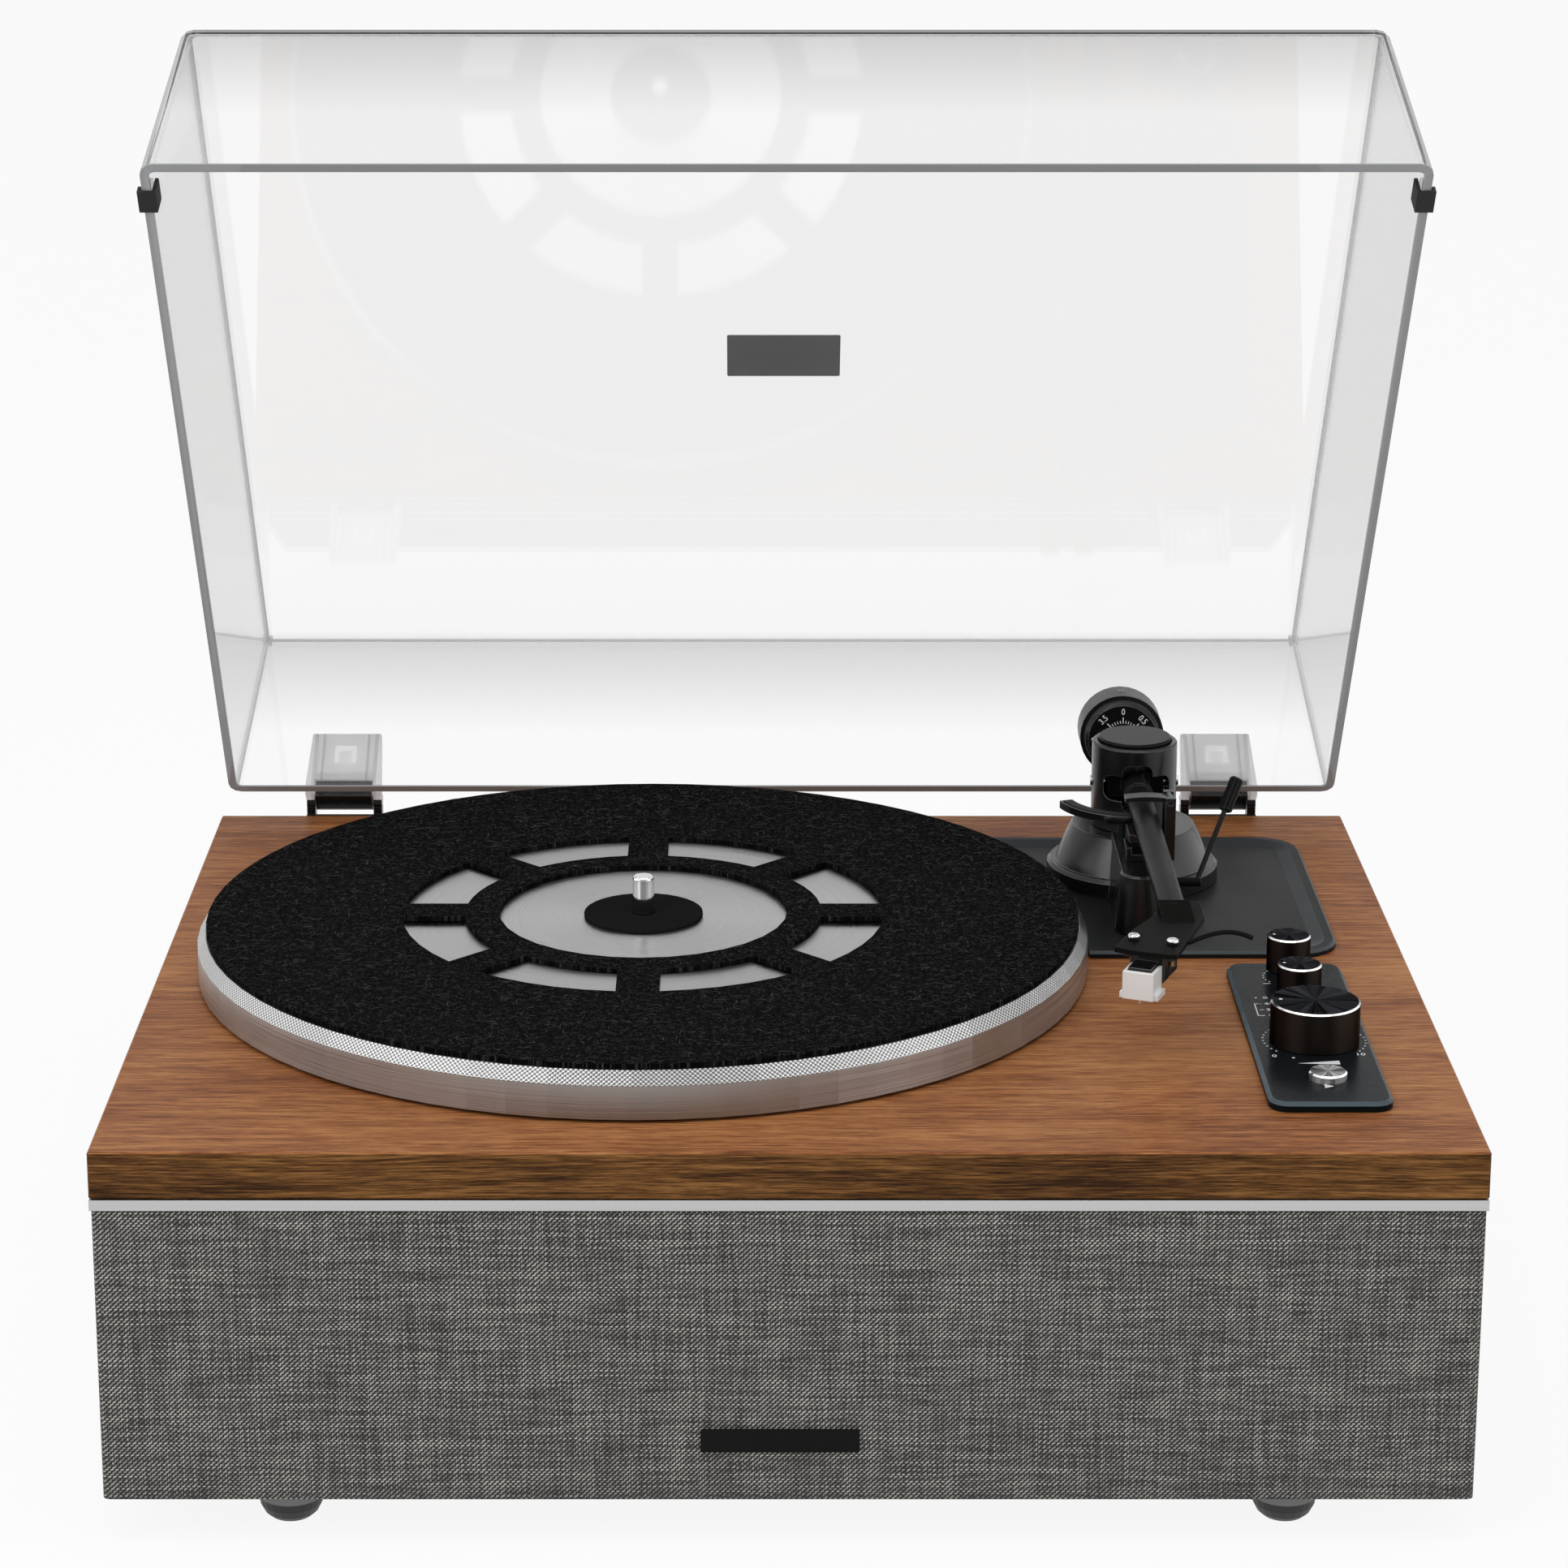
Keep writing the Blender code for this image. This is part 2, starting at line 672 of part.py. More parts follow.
def build_cabinet():
    half = SHELL_W / 2
    shell = block("cabinet_shell", (-half, SHELL_IN, SHELL_LOW), (half, REAR_FACE, SHELL_TOP),
                  MDF, PLAYER)
    cut(shell, block("cabinet_space", (-INSIDE_W / 2, BAFFLE_BACK, BASE_TOP),
                     (INSIDE_W / 2, CABINET_D + OVERRUN, SHELL_TOP + OVERRUN), None, PLAYER))
    middle = (SHELL_TOP + BASE_TOP) / 2
    for side, x in (("left", -SPEAKER_X), ("right", SPEAKER_X)):
        cut(shell, bore(f"speaker_hole_{side}", SPEAKER_HOLE_R, -BOARD_T - OVERRUN, OVERRUN,
                        PLAYER, (x, SHELL_IN, middle), (math.pi / 2, 0, 0), ROUND))
        build_speaker(side, (x, BAFFLE_BACK + SEAT, middle))

    cloth_x = CABINET_W / 2 - CLOTH_INSET
    cloth = block("grille_cloth", (-cloth_x, CLOTH_INSET, SHELL_LOW), (cloth_x, REAR_FACE, SHELL_TOP),
                  CLOTH, PLAYER)
    inner_x = cloth_x - CLOTH_T
    cut(cloth, block("cloth_inside", (-inner_x, CLOTH_INSET + CLOTH_T, SHELL_LOW - OVERRUN),
                     (inner_x, CABINET_D + OVERRUN, SHELL_TOP + OVERRUN), None, PLAYER))

    rear_x = INSIDE_W / 2 - SEAT
    rear = block("rear_panel", (-rear_x, REAR_IN, BASE_TOP + SEAT), (rear_x, REAR_FACE, SHELL_TOP),
                 SATIN, PLAYER)
    for side, x in (("left", RCA_X - RCA_SPACING / 2), ("right", RCA_X + RCA_SPACING / 2)):
        build_rca(side, x, rear)
    build_inlet(rear)


def build_speaker(side, place):
    """Basket and cone; the axis Z of each points to the front."""
    forward = (math.pi / 2, 0, 0)
    cone_seat = -SPEAKER_LIP_T
    bottom = -SPEAKER_DEPTH + MAGNET_H
    frame = [
        (0, cone_seat - CONE_DEPTH - CONE_T - SEAT),
        (DUST_CAP_R, cone_seat - CONE_DEPTH - CONE_T - SEAT),
        (CONE_R + SEAT, cone_seat - CONE_T),
        (CONE_R + SEAT, 0),
        (SPEAKER_R, 0),
        (SPEAKER_R, -SPEAKER_LIP_T),
        (SPEAKER_HOLE_R, -SPEAKER_LIP_T - CONE_T),
        (MAGNET_R, bottom),
        (MAGNET_R, bottom - MAGNET_H),
        (0, bottom - MAGNET_H),
    ]
    turned(f"speaker_frame_{side}", frame, STEEL, PLAYER, place, forward, COARSE)
    cone = [
        (0, cone_seat - CONE_DEPTH + DUST_CAP_RISE),
        (DUST_CAP_R, cone_seat - CONE_DEPTH),
        (CONE_R - CONE_T, cone_seat),
        (CONE_R, cone_seat),
        (CONE_R, cone_seat - CONE_T + SEAT),
        (DUST_CAP_R, cone_seat - CONE_DEPTH - CONE_T),
        (0, cone_seat - CONE_DEPTH - CONE_T),
    ]
    turned(f"speaker_cone_{side}", cone, PAPER, PLAYER, place, forward, COARSE)


def socket_profile(outer, inner, nut):
    """A panel socket along +Z: nut outside the panel, barrel through it and body inside."""
    inside = REAR_IN - SOCKET_BODY_L - REAR_FACE
    return [
        (inner, nut), (outer, nut), (outer, RCA_NUT_T + SEAT), (nut_radius(outer), RCA_NUT_T + SEAT),
        (nut_radius(outer), SEAT), (outer, SEAT), (outer, REAR_IN - REAR_FACE - SEAT),
        (nut_radius(outer), REAR_IN - REAR_FACE - SEAT), (nut_radius(outer), inside), (0, inside),
        (0, inside + RCA_NUT_T), (inner, inside + RCA_NUT_T),
    ]


def nut_radius(outer):
    return outer + RCA_NUT_R - RCA_R


def build_rca(side, x, rear):
    cut(rear, bore(f"rca_hole_{side}", RCA_R + SEAT, -REAR_T - OVERRUN, OVERRUN, PLAYER,
                   (x, REAR_FACE, SOCKET_Z), BACKWARD))
    turned(f"rca_jack_{side}", socket_profile(RCA_R, RCA_BORE_R, RCA_OUT),
           WHITE if side == "left" else RED, PLAYER, (x, REAR_FACE, SOCKET_Z), BACKWARD, COARSE, True)


def build_inlet(rear):
    """The socket for the power supply, with its pin."""
    place = (INLET_X, REAR_FACE, SOCKET_Z)
    cut(rear, bore("inlet_hole", INLET_R + SEAT, -REAR_T - OVERRUN, OVERRUN, PLAYER, place, BACKWARD))
    inlet = turned("dc_inlet", socket_profile(INLET_R, INLET_BORE_R, 2 * RCA_NUT_T), SATIN, PLAYER,
                   place, BACKWARD, COARSE, True)
    pin_from = REAR_IN - REAR_FACE - SOCKET_BODY_L + RCA_NUT_T / 2
    join(inlet, cylinder("inlet_pin", INLET_PIN_R, pin_from, -RCA_NUT_T, None, PLAYER, place, BACKWARD))


def build_boards():
    left, right = AMP_X - AMP_W / 2, AMP_X + AMP_W / 2
    front, back = AMP_Y - AMP_L / 2, AMP_Y + AMP_L / 2
    low = BASE_TOP + SEAT
    top = low + AMP_POST_H
    board = block("main_board", (left, front, top), (right, back, top + BOARD_PLATE_T), BOARD, PLAYER)
    inset = 2 * AMP_POST_R
    corners = [(x, y) for x in (left + inset, right - inset) for y in (front + inset, back - inset)]
    for i, (x, y) in enumerate(corners):
        join(board, cylinder(f"board_post_{i}", AMP_POST_R, low, top + BOARD_PLATE_T / 2, None, PLAYER,
                             (x, y, 0)))
    above = top + BOARD_PLATE_T / 2
    join(board, block("board_sink", (AMP_X - AMP_SINK_W / 2, AMP_Y, above),
                      (AMP_X + AMP_SINK_W / 2, AMP_Y + AMP_SINK_L, above + AMP_SINK_H), None, PLAYER))
    for i, x in enumerate((left + 2 * inset, left + 2 * inset + 3 * AMP_CAN_R)):
        join(board, cylinder(f"board_can_{i}", AMP_CAN_R, above, above + AMP_CAN_H, None, PLAYER,
                             (x, AMP_Y - 2 * AMP_SINK_L, 0)))


def build_feet():
    base = SHELL_LOW - SEAT
    collar = base - FOOT_COLLAR_H
    profile = [(0, base), (FOOT_R, base), (FOOT_R, collar)]
    for across, down in arc(1, 0, math.pi / 2, 5):
        profile.append((FOOT_TREAD_R + (FOOT_DOME_R - FOOT_TREAD_R) * across, collar + (FLOOR_Z - collar) * down))
    profile.append((0, FLOOR_Z))
    for side, x in (("left", -FOOT_X), ("right", FOOT_X)):
        for end, y in (("front", FOOT_INSET), ("rear", CABINET_D - FOOT_INSET)):
            turned(f"foot_{end}_{side}", profile, RUBBER, PLAYER, (x, y, 0), steps=MIDDLE)


def build_platter():
    axis = empty("platter_axis", (PLATTER_X, PLATTER_Y, 0), PLAYER)
    inner_rim = PLATTER_R - PLATTER_RIM
    profile = [
        (SHAFT_BORE, PLATTER_TOP), (PLATTER_R - PLATTER_BEVEL_IN, PLATTER_TOP),
        (PLATTER_R, PLATTER_SHOULDER), (PLATTER_R, PLATTER_LIFT), (inner_rim, PLATTER_LIFT),
        (inner_rim, WEB_LOW), (BELT_RING_R, WEB_LOW), (BELT_RING_R, BELT_RING_LIFT),
        (BELT_RING_R - BELT_RING_T, BELT_RING_LIFT), (BELT_RING_R - BELT_RING_T, WEB_LOW),
        (HUB_R, WEB_LOW), (HUB_R, HUB_LIFT), (SHAFT_BORE, HUB_LIFT),
    ]
    turned("platter", profile, SILVER, axis, steps=FINE, ring=True)

    mat_r = PLATTER_R - PLATTER_BEVEL_IN - MAT_IN
    outlines = [circle(mat_r, FINE), circle(MAT_HOLE_R, ROUND)]
    sector = math.tau / MAT_WINDOWS
    for i in range(MAT_WINDOWS):
        outlines.append(mat_window(i * sector, sector))
    sheet("platter_mat", outlines, MAT_LOW, MAT_TOP, FELT, axis)

    disc = [(SHAFT_BORE, MAT_LOW + HUB_DISC_T), (HUB_DISC_R, MAT_LOW + HUB_DISC_T),
            (HUB_DISC_R, MAT_LOW), (SHAFT_BORE, MAT_LOW)]
    turned("hub_disc", disc, GLOSS, axis, ring=True)

    tip = PLATTER_TOP + SPINDLE_TIP
    low = BEARING_TOP - BEARING_DEPTH + BEARING_FLOOR + SEAT
    spindle = [(0, tip)]
    spindle += [(SPINDLE_R - SPINDLE_TIP_ROUND + x, tip - SPINDLE_TIP_ROUND + z)
                for x, z in reversed(arc(SPINDLE_TIP_ROUND, 0, math.pi / 2, 4))]
    spindle += [(SPINDLE_R, low), (0, low)]
    turned("spindle", spindle, CHROME, axis, steps=MIDDLE)


def mat_window(start, sector):
    """One window of the mat's ring, between two spokes of felt."""
    points = []
    for radius, forward in ((MAT_WINDOW_OUT_R, True), (MAT_WINDOW_IN_R, False)):
        trim = MAT_SPOKE / 2 / radius
        side = arc(radius, start + trim, start + sector - trim, 6)
        points += side if forward else reversed(side)
    return points


def build_drive():
    place = (PLATTER_X, PLATTER_Y, 0)
    low = BEARING_TOP - BEARING_DEPTH
    flange = -DECK_T - SEAT
    profile = [
        (SHAFT_BORE, BEARING_TOP), (BEARING_R, BEARING_TOP), (BEARING_R, flange),
        (BEARING_FLANGE_R, flange), (BEARING_FLANGE_R, flange - BEARING_FLANGE_T),
        (BEARING_R, flange - BEARING_FLANGE_T), (BEARING_R, low), (0, low),
        (0, low + BEARING_FLOOR), (SHAFT_BORE, low + BEARING_FLOOR),
    ]
    turned("bearing_housing", profile, BRASS, PLAYER, place, steps=COARSE, ring=True)

    motor_top = -DECK_T - SEAT
    motor_low = motor_top - MOTOR_H
    bore_r = MOTOR_SHAFT_R + SEAT
    shaft_low = BELT_LIFT - MOTOR_SHAFT_L - DECK_T
    profile = [
        (bore_r, motor_top), (MOTOR_R, motor_top), (MOTOR_R, motor_low), (0, motor_low),
        (0, shaft_low - SEAT), (bore_r, shaft_low - SEAT),
    ]
    turned("motor", profile, STEEL, PLAYER, (MOTOR_X, MOTOR_Y, 0), steps=COARSE, ring=True)

    axis = empty("pulley_axis", (MOTOR_X, MOTOR_Y, 0), PLAYER)
    rim_low, rim_high = BELT_LIFT - SEAT, BELT_LIFT + BELT_H + SEAT
    wide = PULLEY_R + PULLEY_FLANGE
    profile = [
        (0, rim_high + PULLEY_FLANGE_T), (wide, rim_high + PULLEY_FLANGE_T), (wide, rim_high),
        (PULLEY_R, rim_high), (PULLEY_R, rim_low), (wide, rim_low), (wide, rim_low - PULLEY_FLANGE_T),
        (MOTOR_SHAFT_R, rim_low - PULLEY_FLANGE_T), (MOTOR_SHAFT_R, shaft_low), (0, shaft_low),
    ]
    turned("motor_pulley", profile, BRASS, axis, steps=COARSE)

    outlines = [belt_loop(BELT_T + SEAT), belt_loop(SEAT)]
    sheet("drive_belt", outlines, BELT_LIFT, BELT_LIFT + BELT_H, RUBBER, PLAYER, place)


def belt_loop(off):
    """The loop round the platter's ring and the pulley, off outside both."""
    big, small = BELT_RING_R + off, PULLEY_R + off
    tilt = math.acos((big - small) / MOTOR_REACH)
    centre = (MOTOR_X - PLATTER_X, MOTOR_Y - PLATTER_Y)
    points = arc(big, MOTOR_ANGLE + tilt, MOTOR_ANGLE + math.tau - tilt, ROUND)
    points += arc(small, MOTOR_ANGLE - tilt, MOTOR_ANGLE + tilt, 8, centre)
    return points


def build_pan():
    outline = round_rect(PAN_LEFT, PAN_RIGHT, PAN_FRONT, PAN_BACK, PAN_CORNER, 7)
    pan = sheet("arm_pan", [outline], SEAT, SEAT + PAN_H, SATIN, PLAYER)
    bm = bmesh.new()
    bm.from_mesh(pan.data)
    top = [face for face in bm.faces if face.calc_center_median().z > SEAT + PAN_H - WELD]
    for width, rise in ((PAN_CHAMFER, PAN_CHAMFER), (PAN_RIM, 0), (PAN_SLOPE, -PAN_SINK)):
        bmesh.ops.inset_region(bm, faces=top, thickness=width, depth=rise, use_even_offset=True)
    bm.to_mesh(pan.data)
    bm.free()
    cut(pan, bore("pan_platter_gap", PLATTER_R + PAN_PLATTER_GAP, -OVERRUN, PLATTER_TOP, PLAYER,
                  (PLATTER_X, PLATTER_Y, 0), steps=FINE))


def build_arm_base():
    place = (PIVOT_X, PIVOT_Y, 0)
    pin_top = CONE_TOP + BEARING_PIN_L
    profile = [
        (0, pin_top), (BEARING_PIN_R, pin_top), (BEARING_PIN_R, CONE_TOP),
        (CONE_TOP_R - FLANGE_ROUND / 2, CONE_TOP), (CONE_TOP_R, CONE_TOP - FLANGE_ROUND / 2),
        (CONE_FOOT_R, FLANGE_TOP), (FLANGE_R - FLANGE_ROUND, FLANGE_TOP),
        (FLANGE_R, FLANGE_TOP - FLANGE_ROUND), (FLANGE_R, BASE_LOW), (0, BASE_LOW),
    ]
    base = turned("arm_base", profile, SATIN, PLAYER, place)
    edge = FLANGE_ROUND / 2
    post = [(0, WEB_TOP), (LIFT_POST_TOP_R - edge, WEB_TOP), (LIFT_POST_TOP_R, WEB_TOP - edge),
            (LIFT_POST_R, BASE_LOW + edge), (LIFT_POST_R - edge, BASE_LOW), (0, BASE_LOW)]
    post = turned("lift_post", post, None, PLAYER,
                  (PIVOT_X + LIFT_POST_X, PIVOT_Y + LIFT_POST_Y, 0), steps=MIDDLE)
    half = (LIFT_POST_R - edge) * math.cos(math.pi / MIDDLE)
    step = -TURRET_R - LIFT_WEB_GAP
    side = [(LIFT_POST_Y, BASE_LOW), (LIFT_WEB_BACK, BASE_LOW), (LIFT_WEB_BACK, CONE_TOP - edge),
            (step, CONE_TOP - edge), (step, WEB_TOP), (LIFT_POST_Y, WEB_TOP)]
    web = sheet("post_web", [side], -half, half, None, PLAYER, (PIVOT_X + LIFT_POST_X, PIVOT_Y, 0),
                (math.pi / 2, 0, math.pi / 2))
    for vertex in web.data.vertices:
        if vertex.co.y > FLANGE_TOP:
            vertex.co.z *= (LIFT_POST_TOP_R - edge) / (LIFT_POST_R - edge)
    boss = block("lever_boss", (LIFT_POST_X, LEVER_Y - LEVER_BOSS_D / 2, BASE_LOW),
                 (LEVER_BOSS_X, LEVER_Y + LEVER_BOSS_D / 2, LEVER_BOSS_TOP), None, PLAYER)
    boss.location = place
    join(base, web, post, boss)
    cue_x = PIVOT_X + CUE_R * math.cos(CUE_ROD_ANGLE)
    cue_y = PIVOT_Y + CUE_R * math.sin(CUE_ROD_ANGLE)
    cut(base, bore("cue_bore", CUE_ROD_R + SEAT, FLANGE_H, WEB_TOP, PLAYER, (cue_x, cue_y, 0)))
    cut(base, bore("lever_bore", LEVER_SHAFT_R + SEAT, LEVER_SHAFT_FROM - SEAT, LEVER_SHAFT_TO,
                   PLAYER, (PIVOT_X, PIVOT_Y + LEVER_Y, LEVER_Z), ACROSS))


def window_outline():
    """The cross-shaped window, as seen from the front."""
    wide = round_rect(-WINDOW_W / 2, WINDOW_W / 2, -WINDOW_H / 2, WINDOW_H / 2, WINDOW_ROUND, 4)
    tall = round_rect(-WINDOW_MID_W / 2, WINDOW_MID_W / 2, -WINDOW_MID_H / 2, WINDOW_MID_H / 2,
                      WINDOW_ROUND, 4)
    return wide, tall


def build_turret(swing):
    inner = TURRET_R - TURRET_WALL
    floor = TURRET_LOW + TURRET_FLOOR
    pin = BEARING_PIN_R + SEAT
    low = ARM_Z + WINDOW_RISE - WINDOW_MID_H / 2 - SEAT
    high = low + WINDOW_MID_H + 2 * SEAT
    profile = [
        (pin, floor), (inner, floor), (inner, low), (inner, high), (inner, TURRET_TOP),
        (TURRET_R - FLANGE_ROUND / 2, TURRET_TOP), (TURRET_R, TURRET_TOP - FLANGE_ROUND / 2),
        (TURRET_R, high), (TURRET_R, low), (TURRET_R, TURRET_LOW), (pin, TURRET_LOW),
    ]
    turret = turned("pivot_column", profile, SATIN, swing, steps=FINE, ring=True)
    forward = (math.pi / 2, 0, 0)
    for name, outline in zip(("wide", "tall"), window_outline()):
        cut(turret, sheet(f"window_{name}", [outline], -TURRET_R - OVERRUN, TURRET_R + OVERRUN,
                          None, swing, (0, 0, ARM_Z + WINDOW_RISE), forward))
    cut(turret, bore("pivot_screw_holes", PIVOT_SCREW_R + SEAT, -TURRET_R - OVERRUN,
                     TURRET_R + OVERRUN, swing, (0, 0, ARM_Z), ACROSS))

    cap_low = TURRET_TOP + SEAT
    profile = [
        (0, cap_low + CAP_RISE), (CAP_R - KNOB_CHAMFER, cap_low + CAP_RISE),
        (CAP_R, cap_low + CAP_RISE - KNOB_CHAMFER), (CAP_R, cap_low - CAP_PLUG_L), (0, cap_low - CAP_PLUG_L),
    ]
    turned("column_cap", profile, GLOSS, swing)
    for side, turn in (("left", -1), ("right", 1)):
        head = TURRET_R + PIVOT_SCREW_HEAD
        shank = ARM_BLOCK_W / 2 + SEAT
        tip = shank - PIVOT_CONE_L
        profile = [(0, head), (PIVOT_SCREW_R, head), (PIVOT_SCREW_R, shank), (PIVOT_CONE_R, shank), (0, tip)]
        turned(f"pivot_screw_{side}", profile, STEEL, swing, (0, 0, ARM_Z), (0, turn * math.pi / 2, 0),
               COARSE)


def build_arm(tilt):
    """The tube with its pivot block; it points to the front, along -Y."""
    block_low = (-ARM_BLOCK_W / 2, -ARM_BLOCK_L / 2, -ARM_BLOCK_H / 2)
    block_high = (ARM_BLOCK_W / 2, ARM_BLOCK_L / 2, ARM_BLOCK_H / 2)
    arm = block("arm_tube", block_low, block_high, SATIN, tilt, KNOB_CHAMFER)
    front_tube = [
        (0, ARM_REACH), (ARM_TUBE_R, ARM_REACH), (ARM_TUBE_R, ARM_COLLAR_FRONT),
        (ARM_COLLAR_R, ARM_COLLAR_FRONT), (ARM_COLLAR_R, 0), (0, 0),
    ]
    turned_tube = turned("arm_front_tube", front_tube, None, tilt, turn=(math.pi / 2, 0, 0), steps=MIDDLE)
    stub = cylinder("arm_stub", STUB_R, 0, STUB_REACH, None, tilt, (0, 0, STUB_RISE), BACKWARD)
    join(arm, turned_tube, stub)
    half = ARM_BLOCK_W / 2
    for side, turn in (("left", -1), ("right", 1)):
        dimple = [(0, half + OVERRUN), (PIVOT_CONE_R + SEAT, half + OVERRUN), (PIVOT_CONE_R + SEAT, half),
                  (0, half - PIVOT_CONE_L - SEAT)]
        cut(arm, turned(f"pivot_dimple_{side}", dimple, None, tilt, turn=(0, turn * math.pi / 2, 0),
                        steps=COARSE))
    cut(arm, bore("plug_bore", PLUG_R + SEAT, ARM_REACH - PLUG_L - SEAT, ARM_REACH + OVERRUN, tilt,
                  turn=(math.pi / 2, 0, 0)))

    dial_low = WEIGHT_FRONT
    dial = [
        (STUB_R + SEAT, -DIAL_DISH), (DIAL_HUB_R, -DIAL_DISH), (DIAL_FACE_R, -DIAL_DISH),
        (DIAL_R, -2 * DIAL_DISH), (DIAL_R, -DIAL_L), (STUB_R + SEAT, -DIAL_L),
    ]
    turned("weight_dial", dial, SATIN, tilt, (0, dial_low, STUB_RISE), (math.pi / 2, 0, 0), ring=True)
    weight_low = DIAL_L + SEAT
    back = weight_low + WEIGHT_L
    weight = [
        (STUB_R + SEAT, -weight_low), (WEIGHT_R, -weight_low), (WEIGHT_R, -back + WEIGHT_EDGE),
        (WEIGHT_R - WEIGHT_EDGE, -back), (STUB_R + SEAT, -back),
    ]
    turned("counterweight", weight, ANODISED, tilt, (0, dial_low, STUB_RISE), (math.pi / 2, 0, 0), ring=True)


def head_outline():
    """The headshell plate in its own frame: x to its right, y out to its nose."""
    half = HEAD_W / 2
    right_shares = ((0.90, -0.79), (0.76, -3.52), (0.20, -5.31))
    left_shares = ((-1.08, -4.60), (-0.70, -3.07), (-0.93, -1.02))
    nose = [(half * share, HEAD_NOSE + HEAD_BOW * (1 - share * share)) for share in
            (-0.96, -0.60, -0.20, 0.20, 0.60, 1.0)]
    right = [(half * across, HEAD_NOSE * along) for across, along in right_shares]
    left = [(half * across, HEAD_NOSE * along) for across, along in left_shares]
    return nose + right + left


def build_head(tilt):
    head = empty("head_frame", (HEAD_X, HEAD_Y, 0), tilt, (0, 0, math.pi - HEAD_ANGLE))
    top, low = HEAD_TOP - ARM_Z, HEAD_LOW - ARM_Z
    outline = [(-x, y) for x, y in reversed(head_outline())]
    shell = sheet("headshell", [outline], low, top, SATIN, head)
    cut(shell, block("tube_room", (-2 * ARM_TUBE_R, -ARM_REACH - SEAT, -ARM_TUBE_R),
                     (ARM_TUBE_R + SEAT, -ARM_REACH / 2, ARM_TUBE_R), None, tilt))
    soften(shell, HEAD_EDGE)
    lift = [(-HEAD_W / 2 + LIFT_R, -LIFT_BACK / 2, (top + low) / 2)]
    for i in range(9):
        share = i / 8
        lift.append((-HEAD_W / 2 - LIFT_OUT * share + LIFT_R,
                     -LIFT_BACK / 2 - LIFT_BACK * math.sin(share * math.pi / 2),
                     (top + low) / 2 + LIFT_RISE * math.sin(share * math.pi)))
    join(shell, tube("finger_lift", lift, LIFT_R, None, head))
    join(shell, cylinder("head_plug", PLUG_R, ARM_REACH - PLUG_L, ARM_REACH + PLUG_OUT, None, tilt,
                         turn=(math.pi / 2, 0, 0)))
    spots = (-SCREW_SPACING / 2, SCREW_SPACING / 2)
    for side, x in zip(("right", "left"), spots):
        cut(shell, bore(f"screw_hole_{side}", SCREW_SHANK_R + SEAT, low - OVERRUN, top + OVERRUN, head,
                        (x, 0, 0)))
        screw = [
            (0, top + SEAT + SCREW_HEAD_H), (SCREW_R - KNOB_CHAMFER, top + SEAT + SCREW_HEAD_H),
            (SCREW_R, top + SEAT + SCREW_HEAD_H - KNOB_CHAMFER), (SCREW_R, top + SEAT),
            (SCREW_SHANK_R, top + SEAT), (SCREW_SHANK_R, top - SCREW_L), (0, top - SCREW_L),
        ]
        turned(f"headshell_screw_{side}", screw, CHROME, head, (x, 0, 0), steps=COARSE)
    build_cartridge(head, low, spots)


def build_cartridge(head, under, spots):
    top = under - SEAT
    low = top - CARTRIDGE_H
    back = -CARTRIDGE_L / 2
    half = CARTRIDGE_W / 2
    nose_end = STYLUS_FRONT - STYLUS_WALL - SEAT
    body = block("cartridge_body", (-half + CARTRIDGE_EAR_T, back, low - STYLUS_DROP),
                 (half - CARTRIDGE_EAR_T, STYLUS_FRONT - STYLUS_L - SEAT, top), SATIN, head, HEAD_EDGE)
    ears = block("cartridge_ears", (-half, back / 2, top - CARTRIDGE_EAR_T), (half, -back / 2, top),
                 None, head)
    nose = block("cartridge_nose", (-CARTRIDGE_NOSE_W / 2, 0, top - CARTRIDGE_NOSE_H - STYLUS_DROP),
                 (CARTRIDGE_NOSE_W / 2, nose_end, top - STYLUS_DROP), None, head)
    join(body, ears, nose)
    for side, x in zip(("right", "left"), spots):
        cut(body, bore(f"cartridge_hole_{side}", SCREW_SHANK_R + SEAT, low - 2 * STYLUS_DROP - OVERRUN,
                       top + OVERRUN, head, (x, 0, 0)))

    rear = STYLUS_FRONT - STYLUS_L
    tip_z = TIP_HEIGHT - ARM_Z
    low = tip_z + TIP_H
    high = low + STYLUS_H
    holder = block("stylus_holder", (-STYLUS_W / 2, rear, low), (STYLUS_W / 2, STYLUS_FRONT, high),
                   WHITE, head, HEAD_EDGE / 2)
    skirt = block("stylus_skirt", (-STYLUS_W / 2 - STYLUS_SKIRT, rear, low),
                  (STYLUS_W / 2 + STYLUS_SKIRT, STYLUS_FRONT - STYLUS_SKIRT, low + STYLUS_SKIRT_H),
                  None, head)
    socket = block("stylus_socket", (-CARTRIDGE_NOSE_W / 2 - SEAT, rear - OVERRUN,
                                     top - CARTRIDGE_NOSE_H - STYLUS_DROP - SEAT),
                   (CARTRIDGE_NOSE_W / 2 + SEAT, STYLUS_FRONT - STYLUS_WALL, high + OVERRUN), None, head)
    slope = block("stylus_slope", (-STYLUS_W, rear - STYLUS_L, 0), (STYLUS_W, STYLUS_L, STYLUS_H),
                  None, head)
    slope.location = (0, STYLUS_FRONT - STYLUS_L, high)
    slope.rotation_euler = (-math.radians(14), 0, 0)
    join(holder, skirt)
    cut(holder, socket)
    tip_y = STYLUS_FRONT - STYLUS_L / 4
    rod = tube("cantilever", [(0, tip_y - TIP_L, low + STYLUS_SKIRT_H / 2), (0, tip_y, tip_z + TIP_R)],
               TIP_R, None, head, 1)
    join(holder, rod)
    bpy.data.objects.remove(slope)


